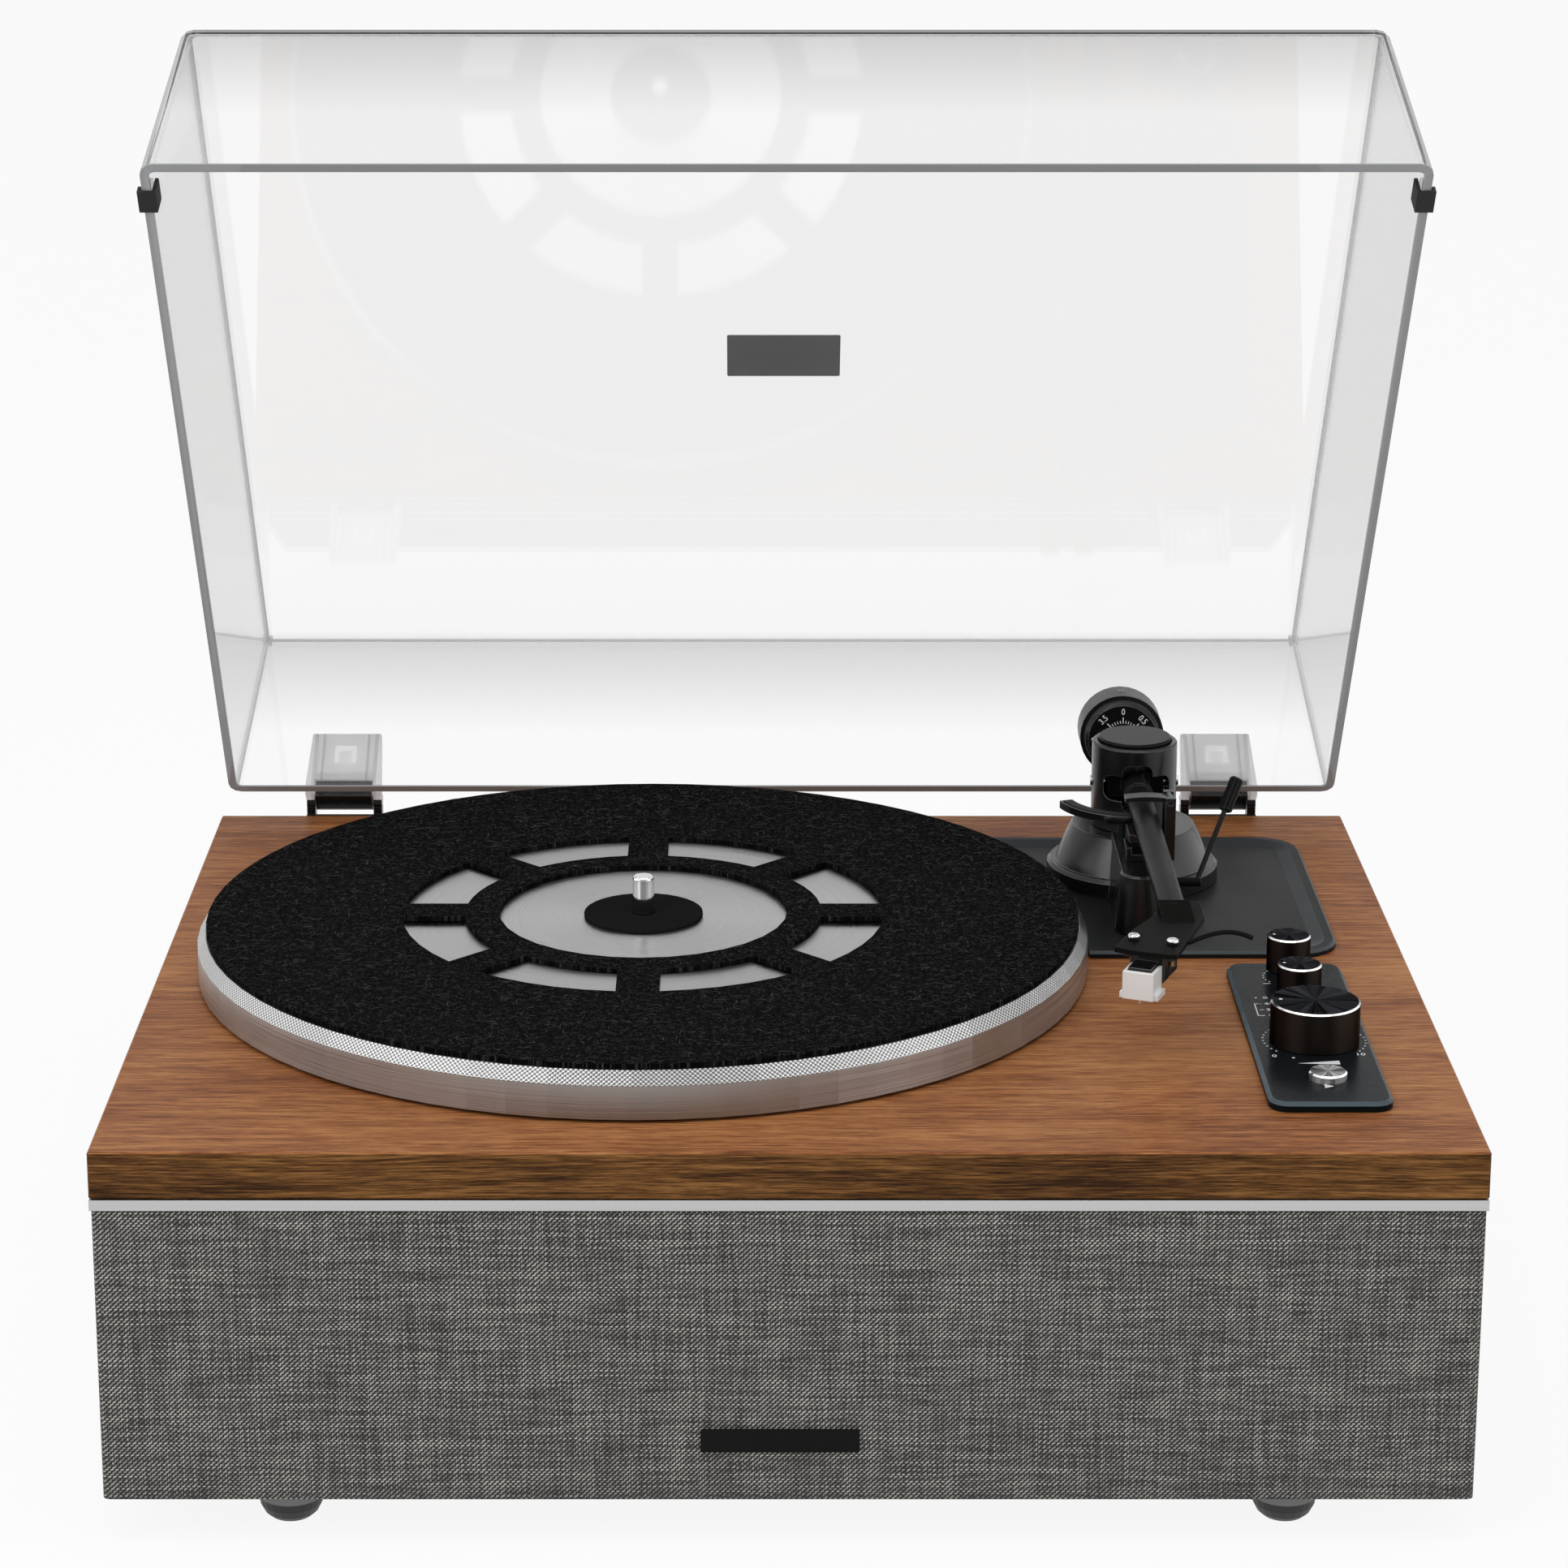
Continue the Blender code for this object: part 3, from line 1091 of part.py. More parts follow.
def build_cue():
    lift = empty("cue_axis", (PIVOT_X, PIVOT_Y, 0), PLAYER)
    outer = arc(CUE_OUT_R, CUE_FROM, CUE_TO, 15)
    inner = arc(CUE_IN_R, CUE_TO, CUE_FROM, 15)
    platform = sheet("cue_platform", [outer + inner], CUE_TOP - CUE_T, CUE_TOP, SATIN, lift)
    soften(platform, KNOB_CHAMFER)
    rod_x, rod_y = CUE_R * math.cos(CUE_ROD_ANGLE), CUE_R * math.sin(CUE_ROD_ANGLE)
    rod_low = FLANGE_H + CUE_TRAVEL + SEAT
    join(platform, cylinder("cue_rod", CUE_ROD_R, rod_low, CUE_TOP - CUE_T / 2, None, lift,
                            (rod_x, rod_y, 0)))

    axis = empty("lever_axis", (PIVOT_X, PIVOT_Y + LEVER_Y, LEVER_Z), PLAYER)
    lever = cylinder("cue_lever", LEVER_SHAFT_R, LEVER_SHAFT_FROM, LEVER_SHAFT_TO, SATIN, axis, turn=ACROSS)
    start = Vector((LEVER_SHAFT_TO - LEVER_SHAFT_R, 0, 0))
    lean = Vector((LEVER_LEAN_X, LEVER_LEAN_Y, LEVER_RISE))
    grip_from = start + lean * (1 - LEVER_GRIP_L / lean.length)
    join(lever, tube("lever_rod", [start, start + lean * (1 - LEVER_GRIP_L / 2 / lean.length)],
                     LEVER_ROD_R, None, axis))
    grip = tube("lever_grip", [grip_from, start + lean], LEVER_GRIP_R, None, axis, 3)
    soften(grip, KNOB_CHAMFER)
    join(lever, grip)


def build_rest():
    place = (PIVOT_X, PIVOT_Y, 0)
    low = WEB_TOP + SEAT
    wall = (REST_X - REST_W / 2, REST_X + REST_W / 2)
    ear_top = CLIP_AXIS_Z + CLIP_KNUCKLE_R
    rest = block("arm_rest", (wall[0], -REST_FRONT, low), (wall[1], -REST_BACK, ear_top), SATIN, PLAYER)
    rest.location = place
    left = wall[1] - REST_LEDGE_L
    ledge = block("rest_ledge", (left, -REST_FRONT, REST_LEDGE_TOP - REST_LEDGE_T),
                  (wall[1], -REST_BACK, REST_LEDGE_TOP), None, PLAYER)
    lip = block("rest_lip", (left, -REST_FRONT, REST_LEDGE_TOP - REST_LEDGE_T),
                (left + REST_LEDGE_T, -REST_BACK, REST_LEDGE_TOP + REST_LIP), None, PLAYER)
    room_y = CLIP_D / 2 + SEAT
    room = block("clip_room", (wall[0] - OVERRUN, -REST_MID - room_y, CLIP_AXIS_Z - CLIP_KNUCKLE_R - SEAT),
                 (wall[1] + OVERRUN, -REST_MID + room_y, ear_top + OVERRUN), None, PLAYER)
    foot = block("rest_foot", (REST_FOOT_LEFT, -REST_FRONT, low),
                 (REST_X, -REST_BACK, low + REST_FOOT_T), None, PLAYER)
    stop = block("rest_stop", (REST_FOOT_LEFT, -REST_FRONT, low),
                 (REST_FOOT_LEFT + REST_STOP_W, -REST_BACK, low + REST_STOP_H), None, PLAYER)
    for piece in (ledge, lip, room, foot, stop):
        piece.location = place
    join(rest, foot, stop, ledge, lip)
    cut(rest, room)
    axis_x = PIVOT_X + REST_X
    cut(rest, bore("clip_pin_bore", CLIP_PIN_R + SEAT, -REST_D, REST_D, PLAYER,
                   (axis_x, PIVOT_Y - REST_MID, CLIP_AXIS_Z), BACKWARD))

    axis = empty("clip_axis", (axis_x, PIVOT_Y - REST_MID, CLIP_AXIS_Z), PLAYER)
    clip = cylinder("arm_clip", CLIP_KNUCKLE_R, -CLIP_D / 2, CLIP_D / 2, SATIN, axis, turn=BACKWARD)
    pin_half = REST_D / 2 - SEAT
    pin = cylinder("clip_pin", CLIP_PIN_R, -pin_half, pin_half, None, axis, turn=BACKWARD)
    reach = CLIP_REACH
    top = [(-reach * i / 8, CLIP_T / 2 + CLIP_T * math.sin(math.pi * i / 8) / 2) for i in range(9)]
    under = [(-reach, -CLIP_T / 2 - CLIP_LIP), (-reach + CLIP_T, -CLIP_T / 2 - CLIP_LIP),
             (-reach + CLIP_T, -CLIP_T / 2), (0, -CLIP_T / 2)]
    strap = sheet("clip_strap", [top + under], -CLIP_D / 2, CLIP_D / 2, None, axis, turn=(math.pi / 2, 0, 0))
    join(clip, strap, pin)


def build_controls():
    left, right = PLATE_X - PLATE_W / 2, PLATE_X + PLATE_W / 2
    front, back = PLATE_Y - PLATE_L / 2, PLATE_Y + PLATE_L / 2
    outline = round_rect(left, right, front, back, PLATE_CORNER, 6)
    plate = sheet("control_plate", [outline], SEAT, PLATE_TOP - PLATE_CHAMFER, ANODISED, PLAYER)
    bm = bmesh.new()
    bm.from_mesh(plate.data)
    top = [face for face in bm.faces if face.calc_center_median().z > PLATE_TOP - PLATE_CHAMFER - WELD]
    bmesh.ops.inset_region(bm, faces=top, thickness=PLATE_CHAMFER, depth=PLATE_CHAMFER,
                           use_even_offset=True)
    bm.to_mesh(plate.data)
    bm.free()

    board_top = POT_TOP - POT_H
    edge = BOARD_PLATE_EDGE
    board = block("control_board", (KNOB_X - POT_R - edge, START_Y - POT_R - edge, board_top - BOARD_PLATE_T),
                  (KNOB_X + POT_R + edge, TONE_Y + POT_R + edge, board_top), BOARD, PLAYER)
    knobs = (("tone_knob", TONE_Y, SMALL_KNOB_R, SMALL_KNOB_H), ("speed_knob", SPEED_Y, SMALL_KNOB_R,
             SMALL_KNOB_H), ("volume_knob", VOLUME_Y, VOLUME_R, VOLUME_H))
    for name, y, radius, height in knobs:
        place = (KNOB_X, y, 0)
        cut(plate, bore(f"{name}_hole", STEM_R + 2 * SEAT, -OVERRUN, PLATE_TOP + OVERRUN, PLAYER, place))
        join(board, cylinder(f"{name}_pot", POT_R, board_top - BOARD_PLATE_T / 2, POT_TOP, None, PLAYER, place))
        cut(board, bore(f"{name}_bore", STEM_R + SEAT, STEM_LOW - SEAT, POT_TOP + OVERRUN, PLAYER, place))
        low = PLATE_TOP + SEAT
        top = low + height
        profile = [
            (0, top), (radius - KNOB_CHAMFER, top), (radius, top - KNOB_CHAMFER), (radius, low),
            (STEM_R, low), (STEM_R, STEM_LOW), (0, STEM_LOW),
        ]
        turned(name, profile, ANODISED, empty(f"{name}_axis", place, PLAYER),
               steps=ROUND if radius > SMALL_KNOB_R else MIDDLE)

    place = (KNOB_X, START_Y, 0)
    cut(plate, bore("start_hole", START_R + SEAT, -OVERRUN, PLATE_TOP + OVERRUN, PLAYER, place,
                    steps=MIDDLE))
    join(board, cylinder("start_switch", POT_R, board_top - BOARD_PLATE_T / 2, POT_TOP, None, PLAYER, place))
    cut(board, bore("start_bore", START_STEM_R + SEAT, STEM_LOW - 2 * START_SUNK, POT_TOP + OVERRUN,
                    PLAYER, place))
    top = PLATE_TOP + START_RISE
    low = SEAT + PLATE_CHAMFER
    stem_low = STEM_LOW + START_SUNK
    profile = [
        (0, top), (START_R - KNOB_CHAMFER, top), (START_R, top - KNOB_CHAMFER), (START_R, low),
        (START_STEM_R, low), (START_STEM_R, stem_low), (0, stem_low),
    ]
    turned("start_button", profile, SILVER, empty("start_axis", place, PLAYER), steps=MIDDLE)


def build_lid():
    """The lid and what is fixed to it, drawn closed about the hinge axis, then turned open."""
    axis = empty("lid_axis", (0, HINGE_Y, HINGE_Z), PLAYER, (-LID_OPEN, 0, 0))
    half = LID_W / 2
    back, front = LID_BACK_Y - HINGE_Y, LID_FRONT_Y - HINGE_Y
    rim, top = LID_RIM_Z - HINGE_Z, LID_TOP_Z - HINGE_Z
    lid = block("lid_cover", (-half, front, rim), (half, back, top), CLEAR, axis)
    for vertex in lid.data.vertices:
        if vertex.co.z > (rim + top) / 2:
            vertex.co.x *= 1 - LID_DRAFT / half
            if vertex.co.y < (front + back) / 2:
                vertex.co.y += LID_DRAFT
    bm = bmesh.new()
    bm.from_mesh(lid.data)
    under = [face for face in bm.faces if face.normal.z < -0.5]
    bmesh.ops.delete(bm, geom=under, context="FACES_ONLY")
    bm.to_mesh(lid.data)
    bm.free()
    soften(lid, LID_ROUND, 3)
    wall = lid.modifiers.new("wall", "SOLIDIFY")
    wall.thickness = LID_T
    wall.offset = -1
    wall.use_even_offset = True
    lid.data.shade_smooth()

    for side, sign in (("left", -1), ("right", 1)):
        build_bumper(axis, side, sign, front, rim)
        build_hinge(axis, side, sign * HINGE_X, back, rim)


def build_bumper(axis, side, sign, front, rim):
    outer = LID_W / 2 + SEAT + BUMPER_T
    inner = LID_W / 2 - LID_T - SEAT - BUMPER_T
    low = rim - LID_RIM_Z + SEAT
    start = front + BUMPER_INSET
    clip = block(f"lid_bumper_{side}", (min(sign * inner, sign * outer), start, low),
                 (max(sign * inner, sign * outer), start + BUMPER_L, low + BUMPER_H), RUBBER, axis)
    ends = (start - OVERRUN, start + BUMPER_L + OVERRUN)
    near, far = sorted((sign * (inner + BUMPER_T), sign * (outer - BUMPER_T)))
    slot = block(f"bumper_slot_{side}", (near, ends[0], rim - SEAT), (far, ends[1], low + 2 * BUMPER_H),
                 None, axis)
    near, far = sorted((sign * (outer + OVERRUN), sign * (outer - BUMPER_T - SEAT)))
    short = block(f"bumper_short_{side}", (near, ends[0], low + BUMPER_OUT_H),
                  (far, ends[1], low + 2 * BUMPER_H), None, axis)
    for piece in (clip, slot, short):
        for vertex in piece.data.vertices:
            vertex.co.x -= sign * LID_DRAFT / LID_H * (vertex.co.z - rim)
    cut(clip, slot, short)


def build_hinge(axis, side, x, back, rim):
    """One hinge: a pocket on the lid's rear wall, a tongue in it, and a base with ears and a pin."""
    face = back + SEAT
    outer = face + POCKET_T
    low = rim + SEAT
    top = low + POCKET_H
    half = POCKET_W / 2
    pocket = block(f"hinge_pocket_{side}", (-half, face, low), (half, outer, top), FROSTED, axis)
    pocket.location = (x, 0, 0)
    for vertex in pocket.data.vertices:
        if vertex.co.z > (low + top) / 2:
            vertex.co.x *= POCKET_TOP_SHARE
    soften(pocket, KNOB_CHAMFER)
    neck_top = TONGUE_NECK_TOP - HINGE_Z + SEAT
    room_x = half - POCKET_LEG_W
    cavity = block(f"pocket_cavity_{side}", (-room_x, face + POCKET_WALL, low - OVERRUN),
                   (room_x, outer - POCKET_WALL, top - POCKET_WALL), None, axis)
    gate = block(f"pocket_gate_{side}", (-room_x, face - OVERRUN, low - OVERRUN),
                 (room_x, outer + OVERRUN, neck_top), None, axis)
    notch_top = top - POCKET_NOTCH_DOWN
    notch = block(f"pocket_notch_{side}", (-POCKET_NOTCH_W / 2, outer - POCKET_WALL - OVERRUN,
                                           notch_top - POCKET_NOTCH_H),
                  (POCKET_NOTCH_W / 2, outer + OVERRUN, notch_top), None, axis)
    for piece in (cavity, gate, notch):
        piece.location = (x, 0, 0)
    ear_room = bore(f"pocket_ear_room_{side}", KNUCKLE_R + POCKET_EAR_GAP, -half - OVERRUN, half + OVERRUN,
                    axis, (x, 0, 0), ACROSS)
    cut(pocket, cavity, gate, notch, ear_room)

    wide = KNUCKLE_W / 2
    middle = (face + outer) / 2
    neck_low = TONGUE_NECK_LOW - HINGE_Z
    tongue = block(f"hinge_tongue_{side}", (-wide, middle - TONGUE_T / 2, neck_low),
                   (wide, middle + TONGUE_T / 2, neck_top + TONGUE_IN), SATIN, axis)
    neck = block(f"tongue_neck_{side}", (-wide, middle - TONGUE_T / 2, neck_low),
                 (wide, 0, neck_top - SEAT), None, axis)
    for piece in (tongue, neck):
        piece.location = (x, 0, 0)
    knuckle = cylinder(f"tongue_knuckle_{side}", KNUCKLE_R, -wide, wide, None, axis, (x, 0, 0), ACROSS)
    join(tongue, neck, knuckle)
    cut(tongue, bore(f"tongue_bore_{side}", HINGE_PIN_R + SEAT, -wide - OVERRUN, wide + OVERRUN, axis,
                     (x, 0, 0), ACROSS))

    ear_in = wide + SEAT
    ear_out = ear_in + HINGE_EAR_W
    plate_low = CABINET_D + SEAT
    base = block(f"hinge_base_{side}", (-ear_out, plate_low, -HINGE_PLATE_H),
                 (ear_out, plate_low + HINGE_PLATE_T, -SEAT), SATIN, PLAYER)
    base.location = (x, 0, 0)
    for end, sign in (("inner", -1), ("outer", 1)):
        near, far = sorted((sign * ear_in, sign * ear_out))
        web = block(f"ear_web_{side}_{end}", (near, HINGE_Y - KNUCKLE_R + SEAT, -3 * KNUCKLE_R),
                    (far, HINGE_Y + KNUCKLE_R - SEAT, HINGE_Z), None, PLAYER)
        rib = block(f"ear_rib_{side}_{end}", (near, plate_low + SEAT, -3 * KNUCKLE_R),
                    (far, HINGE_Y, -2 * SEAT), None, PLAYER)
        for piece in (web, rib):
            piece.location = (x, 0, 0)
        ear = cylinder(f"ear_{side}_{end}", KNUCKLE_R, near, far, None, PLAYER,
                       (x, HINGE_Y, HINGE_Z), ACROSS)
        join(base, web, rib, ear)
    cut(base, bore(f"ear_bore_{side}", HINGE_PIN_R + SEAT, -ear_out - OVERRUN, ear_out + OVERRUN,
                   PLAYER, (x, HINGE_Y, HINGE_Z), ACROSS))
    cylinder(f"hinge_pin_{side}", HINGE_PIN_R, -ear_out, ear_out, STEEL, PLAYER,
             (x, HINGE_Y, HINGE_Z), ACROSS)


def main():
    build_deck()
    build_cabinet()
    build_boards()
    build_feet()
    build_platter()
    build_drive()
    build_pan()
    build_arm_base()
    swing = empty("arm_swing_axis", (PIVOT_X, PIVOT_Y, 0), PLAYER)
    build_turret(swing)
    tilt = empty("arm_tilt_axis", (0, 0, ARM_Z), swing)
    build_arm(tilt)
    build_head(tilt)
    build_cue()
    build_rest()
    build_controls()
    build_lid()


main()
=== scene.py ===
# All-in-one record player: finishes, fine pieces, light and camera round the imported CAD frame.
import math
import random

import bmesh
import bpy
from mathutils import Matrix, Vector


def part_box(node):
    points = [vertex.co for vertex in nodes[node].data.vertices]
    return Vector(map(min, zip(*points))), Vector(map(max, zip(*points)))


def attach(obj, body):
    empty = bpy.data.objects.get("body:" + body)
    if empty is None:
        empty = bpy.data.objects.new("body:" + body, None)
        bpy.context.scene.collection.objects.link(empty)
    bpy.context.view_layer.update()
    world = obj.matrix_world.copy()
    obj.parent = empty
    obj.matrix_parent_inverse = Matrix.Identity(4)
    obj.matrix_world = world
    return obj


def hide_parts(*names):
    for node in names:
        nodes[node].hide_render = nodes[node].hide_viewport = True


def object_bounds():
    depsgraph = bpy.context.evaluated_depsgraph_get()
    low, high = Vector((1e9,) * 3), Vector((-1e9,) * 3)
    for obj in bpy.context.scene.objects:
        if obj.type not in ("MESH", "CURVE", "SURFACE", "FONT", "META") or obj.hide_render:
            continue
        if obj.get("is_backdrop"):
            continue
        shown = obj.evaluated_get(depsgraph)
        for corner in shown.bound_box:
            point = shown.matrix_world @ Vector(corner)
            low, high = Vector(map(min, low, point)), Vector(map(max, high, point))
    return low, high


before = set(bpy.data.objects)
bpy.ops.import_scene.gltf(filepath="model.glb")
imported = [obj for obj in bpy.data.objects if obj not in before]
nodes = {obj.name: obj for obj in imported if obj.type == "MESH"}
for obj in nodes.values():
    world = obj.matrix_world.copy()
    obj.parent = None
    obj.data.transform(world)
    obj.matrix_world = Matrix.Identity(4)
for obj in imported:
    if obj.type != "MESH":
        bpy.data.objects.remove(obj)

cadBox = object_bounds()
mm = 0.001


def boxOf(name):
    low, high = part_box(name)
    return Vector(low), Vector(high)


def middleOf(name):
    low, high = boxOf(name)
    return (low + high) / 2


deckLow, deckHigh = boxOf("deck_panel")
# middle of the deck's front top edge
origin = Vector(((deckLow.x + deckHigh.x) / 2, deckLow.y, deckHigh.z))


def at(x, y, z):  # millimetres from the origin above
    return origin + Vector((x, y, z)) * mm


# nodes and meshes, shared by every finish and piece; a node's inputs are given in their order,
# or by number or name

def hexColour(text):  # sRGB hex to Blender's linear colour
    channels = [int(text[i:i + 2], 16) / 255 for i in (0, 2, 4)]
    return [c / 12.92 if c <= 0.04045 else ((c + 0.055) / 1.055) ** 2.4 for c in channels] + [1.0]


def setInputs(node, values):  # a node stands for its first output in use, and text for a colour
    for key, value in values.items():
        if isinstance(value, bpy.types.Node):
            value = next(output for output in value.outputs if output.enabled)
        if isinstance(value, bpy.types.NodeSocket):
            node.id_data.links.new(value, node.inputs[key])
        else:
            node.inputs[key].default_value = hexColour(value) if isinstance(value, str) else value


def addNode(near, kind, inputs=(), **settings):  # beside any node or socket of the same tree
    node = near.id_data.nodes.new("ShaderNode" + kind)
    for key, value in settings.items():
        setattr(node, key, value)
    setInputs(node, inputs if isinstance(inputs, dict) else dict(enumerate(inputs)))
    return node


def setStops(node, stops):  # a colour ramp's places and colours
    elements = node.color_ramp.elements
    while len(elements) < len(stops):
        elements.new(0.5)
    for element, (place, colour) in zip(elements, stops):
        element.position = place
        element.color = hexColour(colour)
    return node


def looksAlong(part, least):  # 1 on faces that look along a direction, either way
    return addNode(part, "Math", [addNode(part, "Math", [part], operation="ABSOLUTE"), least],
                   operation="GREATER_THAN")


def greatest(values):
    most = values[0]
    for value in values[1:]:
        most = addNode(most, "Math", [most, value], operation="MAXIMUM")
    return most


def newMaterial(name, finish, source="TexCoord"):  # with the outputs of its first node
    material = bpy.data.materials.new(name)
    material.use_nodes = True
    shader = material.node_tree.nodes["Principled BSDF"]
    setInputs(shader, finish)
    return material, shader, addNode(shader, source).outputs


def newPiece(name, mesh, material, body, replaced=(), smooth=True):
    piece = bpy.data.objects.new(name, mesh)
    bpy.context.scene.collection.objects.link(piece)
    mesh.materials.clear()
    mesh.materials.append(material)
    for polygon in mesh.polygons:
        polygon.use_smooth = smooth
    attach(piece, body)
    if replaced:
        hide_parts(*replaced)
    return piece


def meshOf(name, build, place):  # build fills a bmesh in its own frame
    bm = bmesh.new()
    build(bm)
    bmesh.ops.transform(bm, matrix=place, verts=bm.verts)
    bmesh.ops.recalc_face_normals(bm, faces=bm.faces)
    mesh = bpy.data.meshes.new(name)
    bm.to_mesh(mesh)
    bm.free()
    return mesh


def softEdges(piece, width, segments=2):  # width in mm
    bevel = piece.modifiers.new("softEdge", "BEVEL")
    bevel.width = width * mm
    bevel.segments = segments
    bevel.limit_method = "ANGLE"
    bevel.harden_normals = False


def makePiece(name, build, place, finish, body, replaced=(), smooth=False, edge=0):
    piece = newPiece(name, meshOf(name, build, place), finishes[finish], body, replaced,
                     smooth)
    if edge:
        softEdges(piece, edge)
    return piece


def polar(radius, turn, x=0, y=0):
    return x + radius * math.cos(turn), y + radius * math.sin(turn)


def upright(x, y, z):  # the frame of a drawing that stands up and faces the front
    return Matrix(((1, 0, 0, x), (0, 0, -1, y), (0, 1, 0, z), (0, 0, 0, 1)))


def addRing(bm, points):  # points in mm
    return [bm.verts.new(Vector(point) * mm) for point in points]


def joinRings(bm, one, two):
    for i in range(len(one)):
        j = (i + 1) % len(one)
        bm.faces.new((one[i], one[j], two[j], two[i]))


def addSlab(bm, outline, low, high):  # an outline in mm between two levels
    bottom = addRing(bm, [(x, y, low) for x, y in outline])
    top = addRing(bm, [(x, y, high) for x, y in outline])
    bm.faces.new(top)
    bm.faces.new(bottom[::-1])
    joinRings(bm, bottom, top)


def addTurned(bm, profile, steps):  # a closed lathe profile of radius and height
    rings = [addRing(bm, [(*polar(radius, 2 * math.pi * i / steps), height)
                          for i in range(steps if radius else 1)]) for radius, height in profile]
    for one, two in zip(rings, rings[1:]):
        for i in range(steps):
            j = (i + 1) % steps
            corners = [one[i % len(one)], one[j % len(one)], two[j % len(two)], two[i % len(two)]]
            bm.faces.new([v for k, v in enumerate(corners) if v not in corners[:k]])


def cutAway(piece, cutterMesh):  # a clean cut whose tool doesn't stay in the scene
    tool = bpy.data.objects.new("tool", cutterMesh)
    bpy.context.scene.collection.objects.link(tool)
    modifier = piece.modifiers.new("cut", "BOOLEAN")
    modifier.object = tool
    modifier.solver = "EXACT"
    graph = bpy.context.evaluated_depsgraph_get()
    mesh = bpy.data.meshes.new_from_object(piece.evaluated_get(graph))
    piece.modifiers.remove(modifier)
    piece.data = mesh
    bpy.data.objects.remove(tool)


def roundRect(width, length, corner, x, y, count=5):
    points = []
    for turn, (sx, sy) in enumerate(((1, 1), (-1, 1), (-1, -1), (1, -1))):
        middleX, middleY = x + sx * (width / 2 - corner), y + sy * (length / 2 - corner)
        points += [polar(corner, math.pi / 2 * (turn + i / count), middleX, middleY)
                   for i in range(count + 1)]
    return points


print("frame loaded, tools ready")


# walnut veneer: sliced and lacquered, with its grain along the deck's width and round the edges

walnutLook = {
    # dark, middle and pale wood; the solid edge band is darker
    "top": [(0.44, "693b1e"), (0.53, "935b35"), (0.62, "b27c4c")],
    "band": [(0.43, "341e0d"), (0.53, "664321"), (0.64, "96683a")],
    "poreTone": "2a170b", "pores": (0.60, 0.72, 0.0, 0.42), "pit": -1.2,
    # length and width in mm, and how fine the noise is
    "pore": [8, 0.40, 1.0], "fine": [12, 0.60, 4.0], "grit": [13, 0.5, 3.0],
    "figure": [60, 2.2, 4.0], "patch": [130, 38, 1.5], "roughness": 0.65,
    "share": {"lines": 0.56, "figure": 0.26, "patch": 0.24},
    "sway": 5, "swayScale": (6, 22, 1),    # how far the figure wanders across in mm, and how often
    "square": 0.6,                         # from here on a face looks to the side, or up
    "leaf": 0.37, "leafApart": 31,         # each face is cut from another leaf
    "gloss": (0, 1, 0.40, 0.54), "bump": {"Strength": 0.22, "Distance": 0.05 * mm},
}


def walnutVeneer():
    look = walnutLook
    material, shader, spot = newMaterial("walnutVeneer", {
        "Roughness": 0.46, "IOR": 1.5, "Specular IOR Level": 0.09})
    place = addNode(shader, "SeparateXYZ", [spot["Object"]]).outputs
    facing = addNode(shader, "SeparateXYZ", [spot["Normal"]]).outputs
    side = looksAlong(facing["X"], look["square"])
    top = addNode(shader, "Math", [facing["Z"], look["square"]], operation="GREATER_THAN")
    along = addNode(shader, "Mix", {0: side, 2: place["X"], 3: place["Y"]})
    across = addNode(shader, "Mix", {0: top, 2: place["Z"], 3: place["Y"]})
    leaf = addNode(shader, "Math", [side, top, look["leaf"]], operation="MULTIPLY_ADD")
    sheet = addNode(shader, "CombineXYZ", [along, across, leaf])
    swayAt = addNode(shader, "VectorMath", [sheet, look["swayScale"]], operation="MULTIPLY")
    sway = addNode(shader, "TexNoise", {"Vector": swayAt, "Scale": 1.0, "Detail": 2.0})
    shift = addNode(shader, "Math", [sway, look["sway"] * mm, across], operation="MULTIPLY_ADD")
    bent = addNode(shader, "CombineXYZ", [along, shift, leaf])
    layers = {}
    for name in ("pore", "fine", "grit", "figure", "patch"):
        length, width, detail = look[name]
        stretch = (1000 / length, 1000 / width, look["leafApart"])
        scaled = addNode(shader, "VectorMath", [bent, stretch], operation="MULTIPLY")
        layers[name] = addNode(shader, "TexNoise", {
            "Vector": scaled, "Scale": 1.0, "Detail": detail, "Roughness": look["roughness"]})
    strip = addNode(shader, "Mix", {0: top, 2: layers["grit"], 3: layers["fine"]})
    lines = addNode(shader, "Math", [strip, look["share"]["lines"]], operation="MULTIPLY")
    figured = addNode(shader, "Math", [layers["figure"], look["share"]["figure"], lines],
                      operation="MULTIPLY_ADD")
    tone = addNode(shader, "Math", [layers["patch"], look["share"]["patch"], figured],
                   operation="MULTIPLY_ADD")
    face = setStops(addNode(shader, "ValToRGB", [tone]), look["top"])
    band = setStops(addNode(shader, "ValToRGB", [tone]), look["band"])
    wood = addNode(shader, "Mix", {0: top, 6: band, 7: face}, data_type="RGBA")
    pores = addNode(shader, "MapRange", [layers["pore"], *look["pores"]])
    dark = addNode(shader, "Mix", {0: pores, 6: wood, 7: look["poreTone"]}, data_type="RGBA")
    gloss = addNode(shader, "MapRange", [layers["fine"], *look["gloss"]])
    height = addNode(shader, "Math", [pores, look["pit"], layers["fine"]], operation="MULTIPLY_ADD")
    bump = addNode(shader, "Bump", {"Height": height, **look["bump"]})
    setInputs(shader, {"Base Color": dark, "Roughness": gloss, "Normal": bump})
    return material
